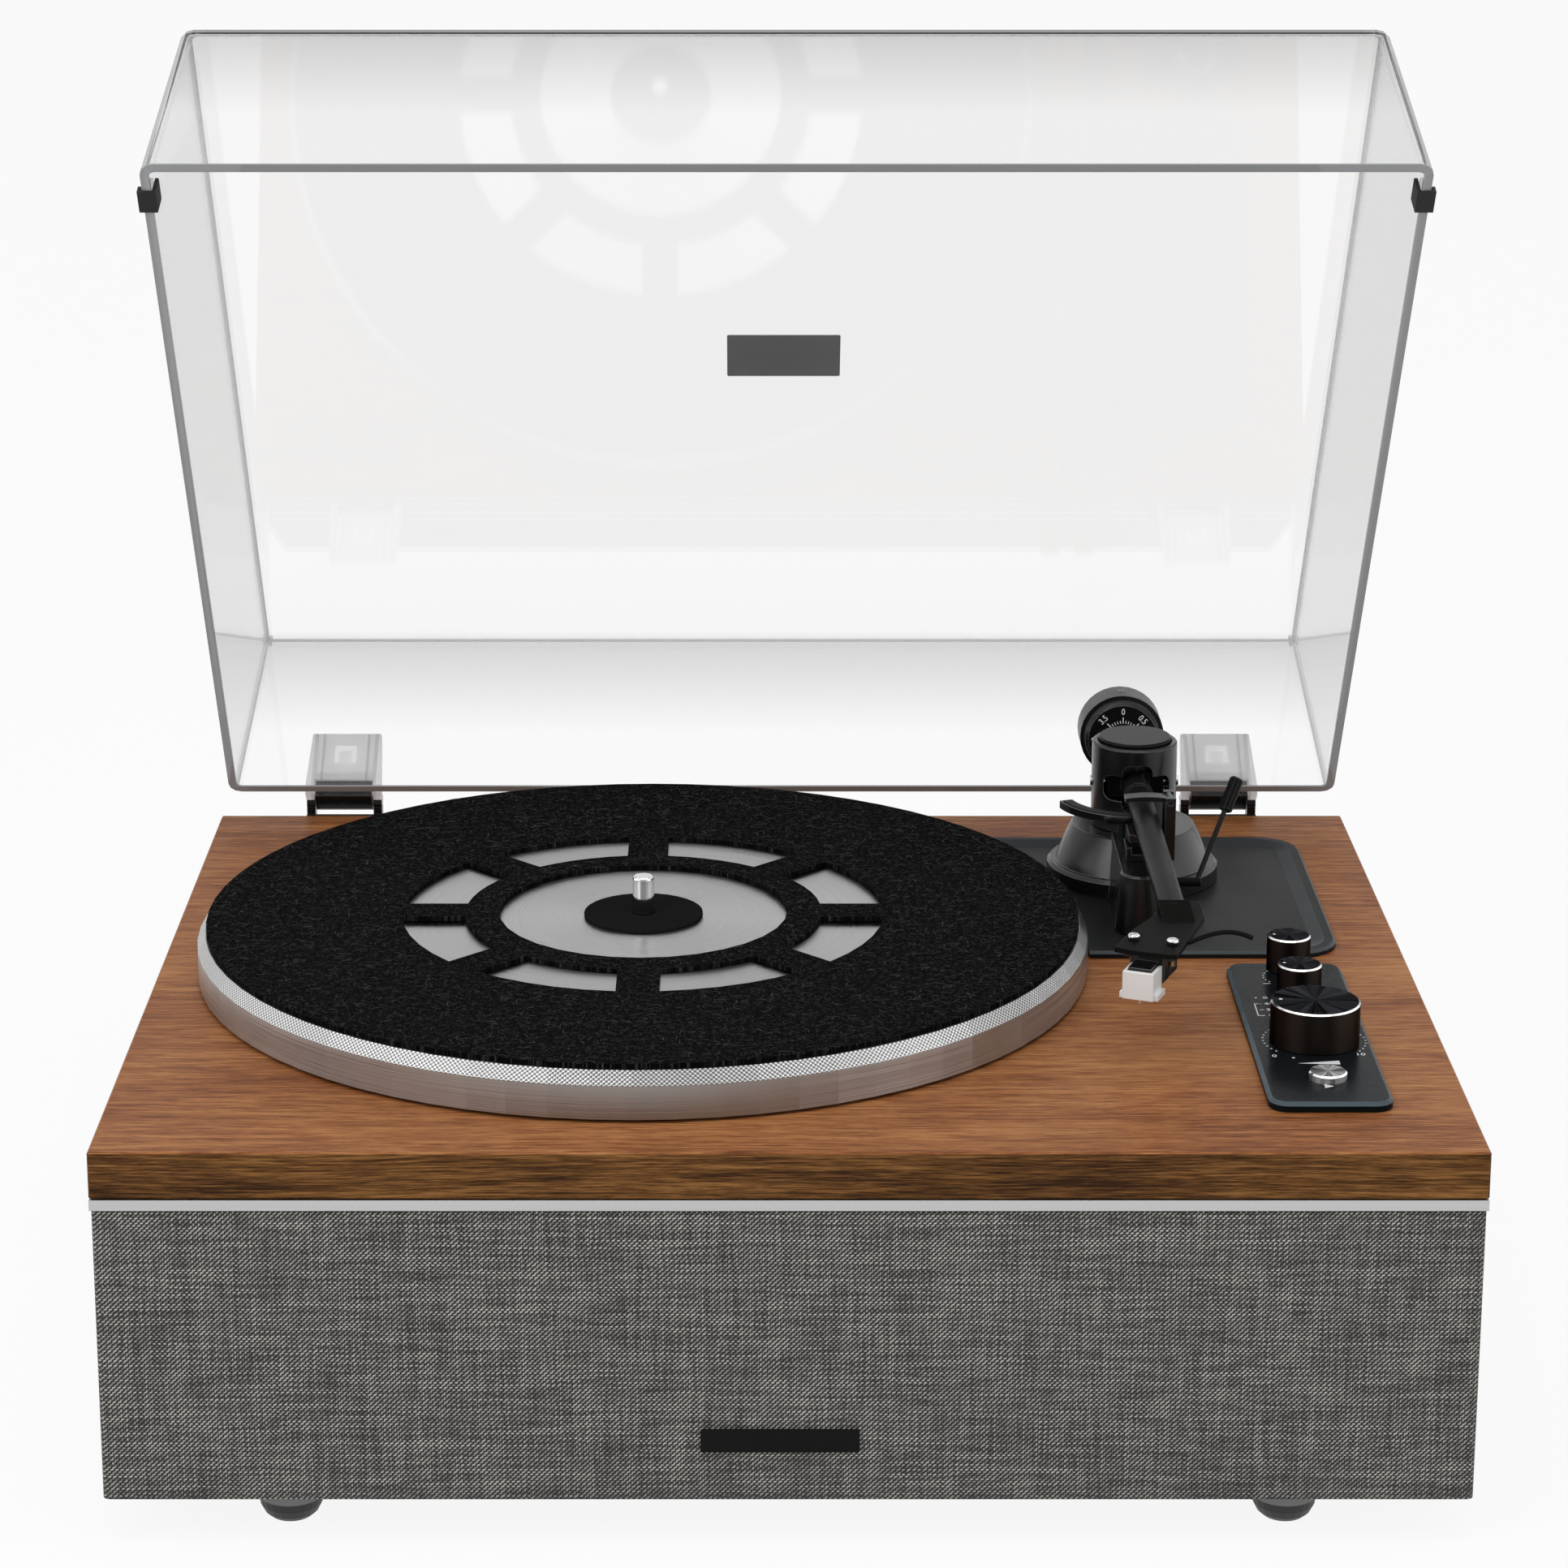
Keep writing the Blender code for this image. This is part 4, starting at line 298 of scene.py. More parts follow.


# speaker cloth: plain weave of heather yarn, dark holes between the threads with painted shade down
# the yarn's sides, and a painted highlight on the crests of its paler slubs

clothLook = {
    "pitch": 0.80,      # thread spacing, mm
    "slub": 24.0,       # length over which one yarn changes shade, mm
    "shades": [(0.34, "4b4947"), (0.50, "7b7975"), (0.66, "aba8a2")],
    "pale": "f4f3ec", "gap": "1c1b1b",
    # a thread, the one that it crosses, where its wave starts, and its middle height
    "crossings": [("warp", "weft", 0.0, 0.52), ("weft", "warp", math.pi, 0.60)], "rise": 0.40,
    "yarnApart": (7.31, 1.0, 1.0), "seed": 3.7,
    "cloud": (70, 70, 28), "cloudShare": (0.06, -0.03),
    "crest": (0.78, 0.98), "lit": (0.42, 0.60, 0.15, 1.0), "cover": (0.22, 0.66),
    "bump": {"Strength": 0.8, "Distance": 0.18 * mm}, "square": 0.7,
    "corner": 2.4, "grid": 6.0, "levels": 16, "thick": 0.8, "padding": 1.2,   # the sheet, in mm
}


def heatherWeave():
    look = clothLook
    material, shader, spot = newMaterial("heatherWeave", {
        "Roughness": 0.9, "IOR": 1.45, "Specular IOR Level": 0.2,
        "Sheen Weight": 0.1, "Sheen Roughness": 0.5})
    place = addNode(shader, "SeparateXYZ", [spot["Object"]]).outputs
    facing = addNode(shader, "SeparateXYZ", [spot["Normal"]]).outputs
    side = looksAlong(facing["X"], look["square"])
    run = addNode(shader, "Mix", {0: side, 2: place["X"], 3: place["Y"]})
    threads = {}
    for name, source in (("warp", run), ("weft", place["Z"])):
        count = addNode(shader, "Math", [source, 1000 / look["pitch"]], operation="MULTIPLY")
        number = addNode(shader, "Math", [count], operation="FLOOR")
        part = addNode(shader, "Math", [count], operation="FRACT")
        turn = addNode(shader, "Math", [part, math.pi], operation="MULTIPLY")
        threads[name] = {"count": count, "number": number,
                         "round": addNode(shader, "Math", [turn], operation="SINE")}
    surfaces = []
    for name, other, phase, base in look["crossings"]:
        own, cross = threads[name], threads[other]
        wave = addNode(shader, "Math", [cross["count"], own["number"]], operation="ADD")
        angle = addNode(shader, "Math", [wave, math.pi, phase - math.pi / 2],
                        operation="MULTIPLY_ADD")
        rise = addNode(shader, "Math", [angle], operation="SINE")
        lift = addNode(shader, "Math", [rise, look["rise"], base], operation="MULTIPLY_ADD")
        height = addNode(shader, "Math", [lift, own["round"]], operation="MULTIPLY")
        slide = addNode(shader, "Math", [cross["count"], look["pitch"] / look["slub"]],
                        operation="MULTIPLY")
        where = addNode(shader, "CombineXYZ", [own["number"], slide, look["seed"] + phase])
        stretch = addNode(shader, "VectorMath", [where, look["yarnApart"]], operation="MULTIPLY")
        shade = addNode(shader, "TexNoise", {"Vector": stretch, "Scale": 1.0, "Detail": 3.0,
                                             "Roughness": 0.7})
        surfaces.append((height, shade))
    (warpHeight, warpShade), (weftHeight, weftShade) = surfaces
    over = addNode(shader, "Math", [warpHeight, weftHeight], operation="GREATER_THAN")
    height = addNode(shader, "Math", [warpHeight, weftHeight], operation="MAXIMUM")
    shade = addNode(shader, "Mix", {0: over, 2: weftShade, 3: warpShade})
    cloudAt = addNode(shader, "VectorMath", [spot["Object"], look["cloud"]], operation="MULTIPLY")
    cloud = addNode(shader, "TexNoise", {"Vector": cloudAt, "Scale": 1.0, "Detail": 2.0})
    mottled = addNode(shader, "Math", [cloud, *look["cloudShare"]], operation="MULTIPLY_ADD")
    toned = addNode(shader, "Math", [shade, mottled], operation="ADD")
    yarn = setStops(addNode(shader, "ValToRGB", [toned]), look["shades"])
    # painted highlight: the crests of the paler yarn are painted nearly white
    crest = addNode(shader, "MapRange", [height, *look["crest"]])
    light = addNode(shader, "MapRange", [toned, *look["lit"]])
    shine = addNode(shader, "Math", [crest, light], operation="MULTIPLY")
    crestHighlighted = addNode(shader, "Mix", {0: shine, 6: yarn, 7: look["pale"]}, data_type="RGBA")
    # partly real and partly painted shade: the holes between threads are dark, and the yarn is
    # painted darker down its sides towards them
    cover = addNode(shader, "MapRange", [height, *look["cover"]])
    colour = addNode(shader, "Mix", {0: cover, 6: look["gap"], 7: crestHighlighted}, data_type="RGBA")
    bump = addNode(shader, "Bump", {"Height": height, **look["bump"]})
    setInputs(shader, {"Base Color": colour, "Normal": bump})
    return material


# wool felt: pressed black fibres, a few of them pale, that shine a little at their ends

feltLook = {
    "ground": [(0.40, "070707"), (0.75, "121212")], "fibre": "4c4c4c",
    "curls": [(1.9, 0.030), (3.0, 0.020), (1.3, 0.045)],   # size in mm and width of the line
    "apart": (0.31, 0.17, 0.0), "swirl": 1.6, "pieces": (0.50, 0.62), "grain": (1600, 1600, 0),
    "paleShare": 0.75, "rise": 0.7, "bump": {"Strength": 0.7, "Distance": 0.15 * mm},
}


def woolFelt():
    look = feltLook
    material, shader, spot = newMaterial("woolFelt", {
        "Roughness": 1.0, "IOR": 1.4, "Specular IOR Level": 0.02})
    curls = []
    for i, (size, width) in enumerate(look["curls"]):
        shift = [step * i for step in look["apart"]]
        moved = addNode(shader, "VectorMath", [spot["Object"], shift], operation="ADD")
        flat = addNode(shader, "VectorMath", [moved, (1000 / size, 1000 / size, 0.0)],
                       operation="MULTIPLY")
        curl = addNode(shader, "TexNoise", {"Vector": flat, "Scale": 1.0, "Detail": 1.5,
                                            "Distortion": look["swirl"]})
        off = addNode(shader, "Math", [curl, 0.5], operation="SUBTRACT")
        near = addNode(shader, "Math", [off], operation="ABSOLUTE")
        line = addNode(shader, "MapRange", [near, 0.0, width, 1.0, 0.0])
        piece = addNode(shader, "TexNoise", {"Vector": flat, "Scale": 0.9, "Detail": 1.0})
        kept = addNode(shader, "MapRange", [piece, *look["pieces"]])
        curls.append(addNode(shader, "Math", [line, kept], operation="MULTIPLY"))
    total = greatest(curls)
    grainAt = addNode(shader, "VectorMath", [spot["Object"], look["grain"]], operation="MULTIPLY")
    grain = addNode(shader, "TexNoise", {"Vector": grainAt, "Scale": 1.0, "Detail": 3.0,
                                         "Roughness": 0.7})
    ground = setStops(addNode(shader, "ValToRGB", [grain]), look["ground"])
    soft = addNode(shader, "Math", [total, look["paleShare"]], operation="MULTIPLY")
    colour = addNode(shader, "Mix", {0: soft, 6: ground, 7: look["fibre"]}, data_type="RGBA")
    height = addNode(shader, "Math", [total, look["rise"], grain], operation="MULTIPLY_ADD")
    bump = addNode(shader, "Bump", {"Height": height, **look["bump"]})
    setInputs(shader, {"Base Color": colour, "Normal": bump})
    return material


# turned aluminium platter: lathe lines round it, and a diamond knurl rolled into its bevel

platterLook = {
    "face": "aeaeae", "band": "a9a5a2", "knurlCrestHighlight": "c9c9c9", "knurlGrooveShade": "5f5f5f",
    "lathe": 0.32, "wander": 1.5,   # spacing of the lathe lines in mm, coarser than real to show
    "knurlAround": 1.6, "knurlAcross": 1.15, "bevelLow": 12.1, "bevelRun": 3.2, "rim": 149.4,
    "square": 0.9, "knurlShade": (0.25, 0.75), "bevelNormalAndLatheTone": (0.35, 0.65, 0.86, 1.04),
    "rough": (0.3, 0.7, 0.26, 0.38), "lineDepth": 0.12,
    "bump": {"Strength": 0.6, "Distance": 0.25 * mm},
}


def turnedAluminium(centre):
    look = platterLook
    material, shader, spot = newMaterial("turnedAluminium", {
        "Metallic": 1.0, "Roughness": 0.30, "Anisotropic": 0.8, "Anisotropic Rotation": 0.25})
    own = addNode(shader, "VectorMath", [spot["Object"], centre], operation="SUBTRACT")
    place = addNode(shader, "SeparateXYZ", [own]).outputs
    around = addNode(shader, "Math", [place["Y"], place["X"]], operation="ARCTAN2")
    flat = addNode(shader, "VectorMath", [own, (1, 1, 0)], operation="MULTIPLY")
    reach = addNode(shader, "VectorMath", [flat], operation="LENGTH")
    facing = addNode(shader, "SeparateXYZ", [spot["Normal"]]).outputs
    top = addNode(shader, "Math", [facing["Z"], look["square"]], operation="GREATER_THAN")
    lineAt = addNode(shader, "Mix", {0: top, 2: place["Z"], 3: reach})
    lineRow = addNode(shader, "Math", [lineAt, 1000 / look["lathe"]], operation="MULTIPLY")
    slow = addNode(shader, "Math", [around, look["wander"]], operation="MULTIPLY")
    linePlace = addNode(shader, "CombineXYZ", [lineRow, slow])
    lines = addNode(shader, "TexNoise", {"Vector": linePlace, "Scale": 1.0, "Detail": 2.0})
    teeth = round(2 * math.pi * look["rim"] / look["knurlAround"])
    across = addNode(shader, "Math", [place["Z"], 1000 / look["knurlAcross"]], operation="MULTIPLY")
    grooves = []
    for sign in (1, -1):
        turn = addNode(shader, "Math", [around, sign * teeth / (2 * math.pi), across],
                       operation="MULTIPLY_ADD")
        grooves.append(addNode(shader, "Math", [turn, 0.5], operation="PINGPONG"))
    knurl = addNode(shader, "Math", [grooves[0], grooves[1]], operation="ADD")
    above = addNode(shader, "Math", [place["Z"], look["bevelLow"] * mm], operation="GREATER_THAN")
    outside = addNode(shader, "Math", [reach, (look["rim"] - look["bevelRun"]) * mm],
                      operation="GREATER_THAN")
    sloped = addNode(shader, "Math", [above, outside], operation="MULTIPLY")
    bevel = addNode(shader, "Math", [sloped, top], operation="SUBTRACT", use_clamp=True)
    # painted shade and highlight: the knurl's grooves are painted dark and its crests pale
    shade = addNode(shader, "MapRange", [knurl, *look["knurlShade"]])
    pattern = addNode(shader, "Mix", {0: shade, 6: look["knurlGrooveShade"], 7: look["knurlCrestHighlight"]},
                      data_type="RGBA")
    metal = addNode(shader, "Mix", {0: top, 6: look["band"], 7: look["face"]}, data_type="RGBA")
    bevelNormalAndLatheTone = addNode(shader, "MapRange", [lines, *look["bevelNormalAndLatheTone"]])
    lined = addNode(shader, "VectorMath", {0: metal, "Scale": bevelNormalAndLatheTone}, operation="SCALE")
    colour = addNode(shader, "Mix", {0: bevel, 6: lined, 7: pattern}, data_type="RGBA")
    rough = addNode(shader, "MapRange", [lines, *look["rough"]])
    knurled = addNode(shader, "Math", [knurl, bevel], operation="MULTIPLY")
    height = addNode(shader, "Math", [lines, look["lineDepth"], knurled], operation="MULTIPLY_ADD")
    bump = addNode(shader, "Bump", {"Height": height, **look["bump"]})
    setInputs(shader, {"Base Color": colour, "Roughness": rough, "Normal": bump,
                       "Tangent": addNode(shader, "Tangent", direction_type="RADIAL", axis="Z")})
    return material


# plastics and paints that differ in colour, gloss and grain, some with painted highlights on
# rounded edges and on slanted faces

mouldLook = {
    "clouds": 8, "gloss": (0.6, 1.4), "glossSpread": (0.85, 1.2), "bump": 0.5,
    "rim": (0.98, 0.86), "slant": (0.06, 0.18),   # where the painted edge and slant highlights begin and end
}


def mouldedFinish(name, colour, second, rough, grain, depth, edge=0.25, finish=None, spread=6,
                  rim=None, slantHighlight=None):
    look = mouldLook
    values = {"Roughness": rough, "IOR": 1.52}
    values.update(finish or {})
    material, shader, spot = newMaterial(name, values)
    fine = addNode(shader, "TexNoise", {"Vector": spot["Object"], "Scale": 1000 / grain,
                                        "Detail": 3.0, "Roughness": 0.6})
    wide = addNode(shader, "TexNoise", {
        "Vector": spot["Object"], "Scale": 1000 / (grain * spread * look["clouds"]),
        "Detail": 2.0})
    skin = addNode(shader, "Mix", {0: wide, 6: colour, 7: second}, data_type="RGBA")
    mixed = addNode(shader, "Math", [fine, wide], operation="ADD")
    gloss = addNode(shader, "MapRange", [mixed, *look["gloss"],
                                         *(rough * share for share in look["glossSpread"])])
    bump = addNode(shader, "Bump", {"Height": fine, "Strength": look["bump"],
                                    "Distance": depth * mm})
    if edge:
        bevelNormalAndLatheTone = addNode(shader, "Bevel", {"Radius": edge * mm}, samples=4)
        setInputs(bump, {"Normal": bevelNormalAndLatheTone})
    if rim:   # painted highlight: rounded edges are painted paler than the faces between them
        meet = addNode(shader, "VectorMath", [bevelNormalAndLatheTone, spot["Normal"]], operation="DOT_PRODUCT")
        turned = addNode(shader, "MapRange", [meet, *look["rim"]])
        skin = addNode(shader, "Mix", {0: turned, 6: skin, 7: rim}, data_type="RGBA")
    if slantHighlight:   # painted highlight: faces at a slant, neither flat nor upright, are painted paler, as if lit by the softbox
        facing = addNode(shader, "SeparateXYZ", [spot["Normal"]]).outputs
        square = addNode(shader, "Math", [facing["Z"], facing["Z"]], operation="MULTIPLY")
        rest = addNode(shader, "Math", [1.0, square], operation="SUBTRACT")
        slant = addNode(shader, "Math", [square, rest], operation="MULTIPLY")
        shown = addNode(shader, "MapRange", [slant, *look["slant"]])
        skin = addNode(shader, "Mix", {0: shown, 6: skin, 7: slantHighlight}, data_type="RGBA")
    setInputs(shader, {"Roughness": gloss, "Base Color": skin, "Normal": bump})
    return material


# anodised knob: black skin, radial brushing on top and a bright chamfer cut through the anodising

knobSkin = {
    "streaks": {"Scale": 26, "Detail": 8.0, "Roughness": 0.75},
    "fan": {"Scale": 2.6, "Detail": 1.0}, "contrast": (0.82, 1.22),
    "face": 0.05, "chamfer": 0.55,   # mm down from the top
    "cut": "f2f2f2", "rough": (0, 1, 0.36, 0.16),
    "bump": {"Strength": 0.25, "Distance": 0.04 * mm},
}


def cutKnob(name, centre, radius, top, low, high, side, glaze):
    look = knobSkin
    material, shader, spot = newMaterial(name, {
        "Metallic": 1.0, "Roughness": 0.34, "Anisotropic": 0.8, "Anisotropic Rotation": 0.25,
        "Specular Tint": (glaze, glaze, glaze, 1)})
    own = addNode(shader, "VectorMath", [spot["Object"], centre], operation="SUBTRACT")
    flat = addNode(shader, "VectorMath", [own, (1, 1, 0)], operation="MULTIPLY")
    reach = addNode(shader, "VectorMath", [flat], operation="LENGTH")
    ray = addNode(shader, "VectorMath", [flat], operation="NORMALIZE")
    brush = addNode(shader, "TexNoise", {"Vector": ray, **look["streaks"]})
    fan = addNode(shader, "TexNoise", {"Vector": ray, **look["fan"]})
    streak = addNode(shader, "MapRange", [addNode(shader, "Math", [brush, fan], operation="ADD"),
                                          *look["contrast"]])
    face = addNode(shader, "Mix", {0: streak, 6: low, 7: high}, data_type="RGBA")
    height = addNode(shader, "SeparateXYZ", [spot["Object"]]).outputs
    onTop = addNode(shader, "Math", [height["Z"], top - look["face"] * mm],
                    operation="GREATER_THAN")
    wide = addNode(shader, "Math", [reach, radius - look["chamfer"] * mm], operation="GREATER_THAN")
    highUp = addNode(shader, "Math", [height["Z"], top - look["chamfer"] * mm],
                     operation="GREATER_THAN")
    ring = addNode(shader, "Math", [wide, highUp], operation="MULTIPLY")
    skin = addNode(shader, "Mix", {0: onTop, 6: side, 7: face}, data_type="RGBA")
    colour = addNode(shader, "Mix", {0: ring, 6: skin, 7: look["cut"]}, data_type="RGBA")
    smooth = addNode(shader, "MapRange", [ring, *look["rough"]])
    bump = addNode(shader, "Bump", {"Height": brush, **look["bump"]})
    setInputs(shader, {"Base Color": colour, "Roughness": smooth, "Normal": bump,
                       "Tangent": addNode(shader, "Tangent", direction_type="RADIAL", axis="Z")})
    return material


# clear acrylic: cast and polished, nearly colourless, with grey sawn edges, and painted grey shade
# in its side walls, back wall and rounded edges

lidLook = {
    "openAngle": 56.2,   # degrees
    "panel": "fdfdfd", "sideWallShade": "dcdcdc", "edge": "9c9ea0", "bend": "cbcccd",
    # from here on a face counts as a wall, or as a rounded edge
    "square": 0.8, "bendAt": (0.97, 0.93),
    "rimMilk": 0.92, "bendShade": 0.5,   # how much clearness the sawn edges lose to frost, and the rounded edges to painted grey shade
    "backWallShade": "d2d2d2", "clearBelow": 25, "greyAt": 74,   # painted shade: the back wall greys towards the panel, mm
    "haze": {"Scale": 9.0, "Detail": 2.0}, "polish": (0.3, 0.8, 0.0, 0.03),
    "rimBand": 0.6,       # height of the darker open edge, mm
    "rimLevel": -2.3,     # open edge above the hinge when shut, mm
}
hinge = middleOf("hinge_pin_left")
hingePoint = Vector((origin.x, hinge.y, hinge.z))
lidTurn = Matrix.Rotation(-math.radians(lidLook["openAngle"]), 4, "X")
lidFrame = Matrix.Translation(hingePoint) @ lidTurn   # the shut lid's directions, turned open


def castAcrylic():
    look = lidLook
    material, shader, spot = newMaterial("castAcrylic", {
        "Transmission Weight": 1.0, "Roughness": 0.0, "IOR": 1.49})
    own = addNode(shader, "VectorMath", [spot["Object"], hingePoint], operation="SUBTRACT")
    upward, rearward = lidTurn @ Vector((0, 0, 1)), lidTurn @ Vector((0, 1, 0))
    level = addNode(shader, "VectorMath", [own, upward], operation="DOT_PRODUCT")
    rim = addNode(shader, "Math", [level, (look["rimLevel"] + look["rimBand"]) * mm],
                  operation="LESS_THAN")
    side = looksAlong(addNode(shader, "SeparateXYZ", [spot["Normal"]]).outputs["X"], look["square"])
    # painted shade: the side walls are painted greyer than the panel
    wall = addNode(shader, "Mix", {0: side, 6: look["panel"], 7: look["sideWallShade"]},
                   data_type="RGBA")
    # painted shade: the back wall is painted greyer towards the panel
    back = looksAlong(addNode(shader, "VectorMath", [spot["Normal"], rearward],
                              operation="DOT_PRODUCT"), look["square"])
    depth = addNode(shader, "MapRange", [level, look["clearBelow"] * mm, look["greyAt"] * mm])
    shaded = addNode(shader, "Math", [back, depth], operation="MULTIPLY")
    wall = addNode(shader, "Mix", {0: shaded, 6: wall, 7: look["backWallShade"]}, data_type="RGBA")
    # how squarely a face meets the lid's own directions: it is low on the rounded edges
    squares = [addNode(shader, "VectorMath", [spot["Normal"], direction], operation="DOT_PRODUCT")
               for direction in (Vector((1, 0, 0)), rearward, upward)]
    straight = greatest([addNode(shader, "Math", [square],
                                 operation="ABSOLUTE") for square in squares])
    # painted shade: the rounded edges are painted grey and made less clear
    bend = addNode(shader, "MapRange", [straight, *look["bendAt"], 0.0, look["bendShade"]])
    bent = addNode(shader, "Mix", {0: bend, 6: wall, 7: look["bend"]}, data_type="RGBA")
    colour = addNode(shader, "Mix", {0: rim, 6: bent, 7: look["edge"]}, data_type="RGBA")
    sawn = addNode(shader, "Math", [rim, look["rimMilk"]], operation="MULTIPLY")
    sawnFrostAndBendShade = addNode(shader, "Math", [sawn, bend], operation="MAXIMUM")
    clear = addNode(shader, "Math", [1.0, sawnFrostAndBendShade], operation="SUBTRACT")
    haze = addNode(shader, "TexNoise", {"Vector": spot["Object"], **look["haze"]})
    polish = addNode(shader, "MapRange", [haze, *look["polish"]])
    setInputs(shader, {"Base Color": colour, "Transmission Weight": clear, "Roughness": polish})
    return material


# frosted polycarbonate: milky moulding with ribs inside and a faint painted glow, for the lid's
# hinge pockets

pocketLook = {
    "out": 164.3,                          # middle of a pocket from the lid's middle, mm
    "ribs": [(8.4, 0.45), (11.4, 0.7)],    # their places from there, and half their widths, mm
    "tone": "fafafa", "ribTone": "d8d8d8", "cloudy": (0, 1, 0.94, 1.04),
    "grain": {"Scale": 900.0, "Detail": 3.0}, "grainDepth": 0.1,
    "bump": {"Strength": 0.6, "Distance": 0.2 * mm},
}


def frostedMoulding():
    look = pocketLook
    # painted light: a faint white glow stands in for light scattered in the moulding
    material, shader, spot = newMaterial("frostedMoulding", {
        "Transmission Weight": 0.45, "Roughness": 0.28, "IOR": 1.30,
        "Emission Color": (1, 1, 1, 1), "Emission Strength": 0.06})
    place = addNode(shader, "SeparateXYZ", [spot["Object"]]).outputs
    across = addNode(shader, "Math", [place["X"], origin.x], operation="SUBTRACT")
    apart = addNode(shader, "Math", [across], operation="ABSOLUTE")
    beside = addNode(shader, "Math", [apart, look["out"] * mm], operation="SUBTRACT")
    out = addNode(shader, "Math", [beside], operation="ABSOLUTE")
    ribs = greatest([addNode(shader, "Math", [out, middle * mm, half * mm], operation="COMPARE")
                     for middle, half in look["ribs"]])
    grain = addNode(shader, "TexNoise", {"Vector": spot["Object"], **look["grain"]})
    tint = addNode(shader, "Mix", {0: ribs, 6: look["tone"], 7: look["ribTone"]}, data_type="RGBA")
    cloudy = addNode(shader, "MapRange", [grain, *look["cloudy"]])
    milky = addNode(shader, "VectorMath", {0: tint, "Scale": cloudy}, operation="SCALE")
    height = addNode(shader, "Math", [grain, look["grainDepth"], ribs], operation="MULTIPLY_ADD")
    bump = addNode(shader, "Bump", {"Height": height, **look["bump"]})
    setInputs(shader, {"Base Color": milky, "Normal": bump})
    return material


# brushed metal with straight lines, for the trim strip, sockets and small hardware

brushLook = {
    "along": 12, "fine": {"Scale": 1.0, "Detail": 3.0, "Roughness": 0.6},
    "gloss": (0.3, 0.7), "glossSpread": (0.8, 1.25),
    "bump": {"Strength": 0.3, "Distance": 0.02 * mm}, "edge": 0.2,
}


def brushedMetal(name, light, dark, rough, line, axis=(0, 0, 1), anisotropic=0.4):
    look = brushLook
    material, shader, spot = newMaterial(name, {"Metallic": 1.0, "Roughness": rough,
                                                "Anisotropic": anisotropic})
    stretch = [1000 / line if part else look["along"] for part in axis]
    scaled = addNode(shader, "VectorMath", [spot["Object"], stretch], operation="MULTIPLY")
    lines = addNode(shader, "TexNoise", {"Vector": scaled, **look["fine"]})
    tint = addNode(shader, "Mix", {0: lines, 6: dark, 7: light}, data_type="RGBA")
    gloss = addNode(shader, "MapRange", [lines, *look["gloss"],
                                         *(rough * share for share in look["glossSpread"])])
    bump = addNode(shader, "Bump", {"Height": lines, **look["bump"]})
    bevelNormalAndLatheTone = addNode(shader, "Bevel", {"Radius": look["edge"] * mm}, samples=4)
    setInputs(bump, {"Normal": bevelNormalAndLatheTone})
    setInputs(shader, {"Base Color": tint, "Roughness": gloss, "Normal": bump})
    return material


# foot: grey satin collar above a black rubber dome

footLook = {
    "collar": 6.9,   # its height, mm
    "collarTone": "6f6f70", "metal": 0.7, "dark": "0d0d0d", "light": "1d1d1d",
    "grain": {"Scale": 2200.0, "Detail": 3.0}, "rough": (0, 1, 0.5, 0.32),
    "bump": {"Strength": 0.3, "Distance": 0.05 * mm},
}


def footFinish():
    look = footLook
    material, shader, spot = newMaterial("footRubber", {"Roughness": 0.6, "IOR": 1.52})
    place = addNode(shader, "SeparateXYZ", [spot["Object"]]).outputs
    collarLow = boxOf("foot_front_left")[1].z - look["collar"] * mm
    collar = addNode(shader, "Math", [place["Z"], collarLow], operation="GREATER_THAN")
    grain = addNode(shader, "TexNoise", {"Vector": spot["Object"], **look["grain"]})
    rubber = addNode(shader, "Mix", {0: grain, 6: look["dark"], 7: look["light"]}, data_type="RGBA")
    colour = addNode(shader, "Mix", {0: collar, 6: rubber, 7: look["collarTone"]}, data_type="RGBA")
    metal = addNode(shader, "Math", [collar, look["metal"]], operation="MULTIPLY")
    rough = addNode(shader, "MapRange", [collar, *look["rough"]])
    bump = addNode(shader, "Bump", {"Height": grain, **look["bump"]})
    setInputs(shader, {"Base Color": colour, "Metallic": metal, "Roughness": rough, "Normal": bump})
    return material


# circuit board: green lacquer over etched tracks

boardTracks = {
    "Scale": 90.0, "Mortar Size": 0.05, "Color1": "0e3a1c", "Color2": "12482a", "Mortar": "2f7a45",
}
boardBump = {"Strength": 0.3, "Distance": 0.05 * mm}


def lacqueredBoard():
    material, shader, spot = newMaterial("lacqueredBoard", {"Roughness": 0.35, "IOR": 1.5})
    tracks = addNode(shader, "TexBrick", {"Vector": spot["Object"], **boardTracks})
    bump = addNode(shader, "Bump", {"Height": tracks.outputs["Fac"], **boardBump})
    setInputs(shader, {"Base Color": tracks, "Normal": bump})
    return material


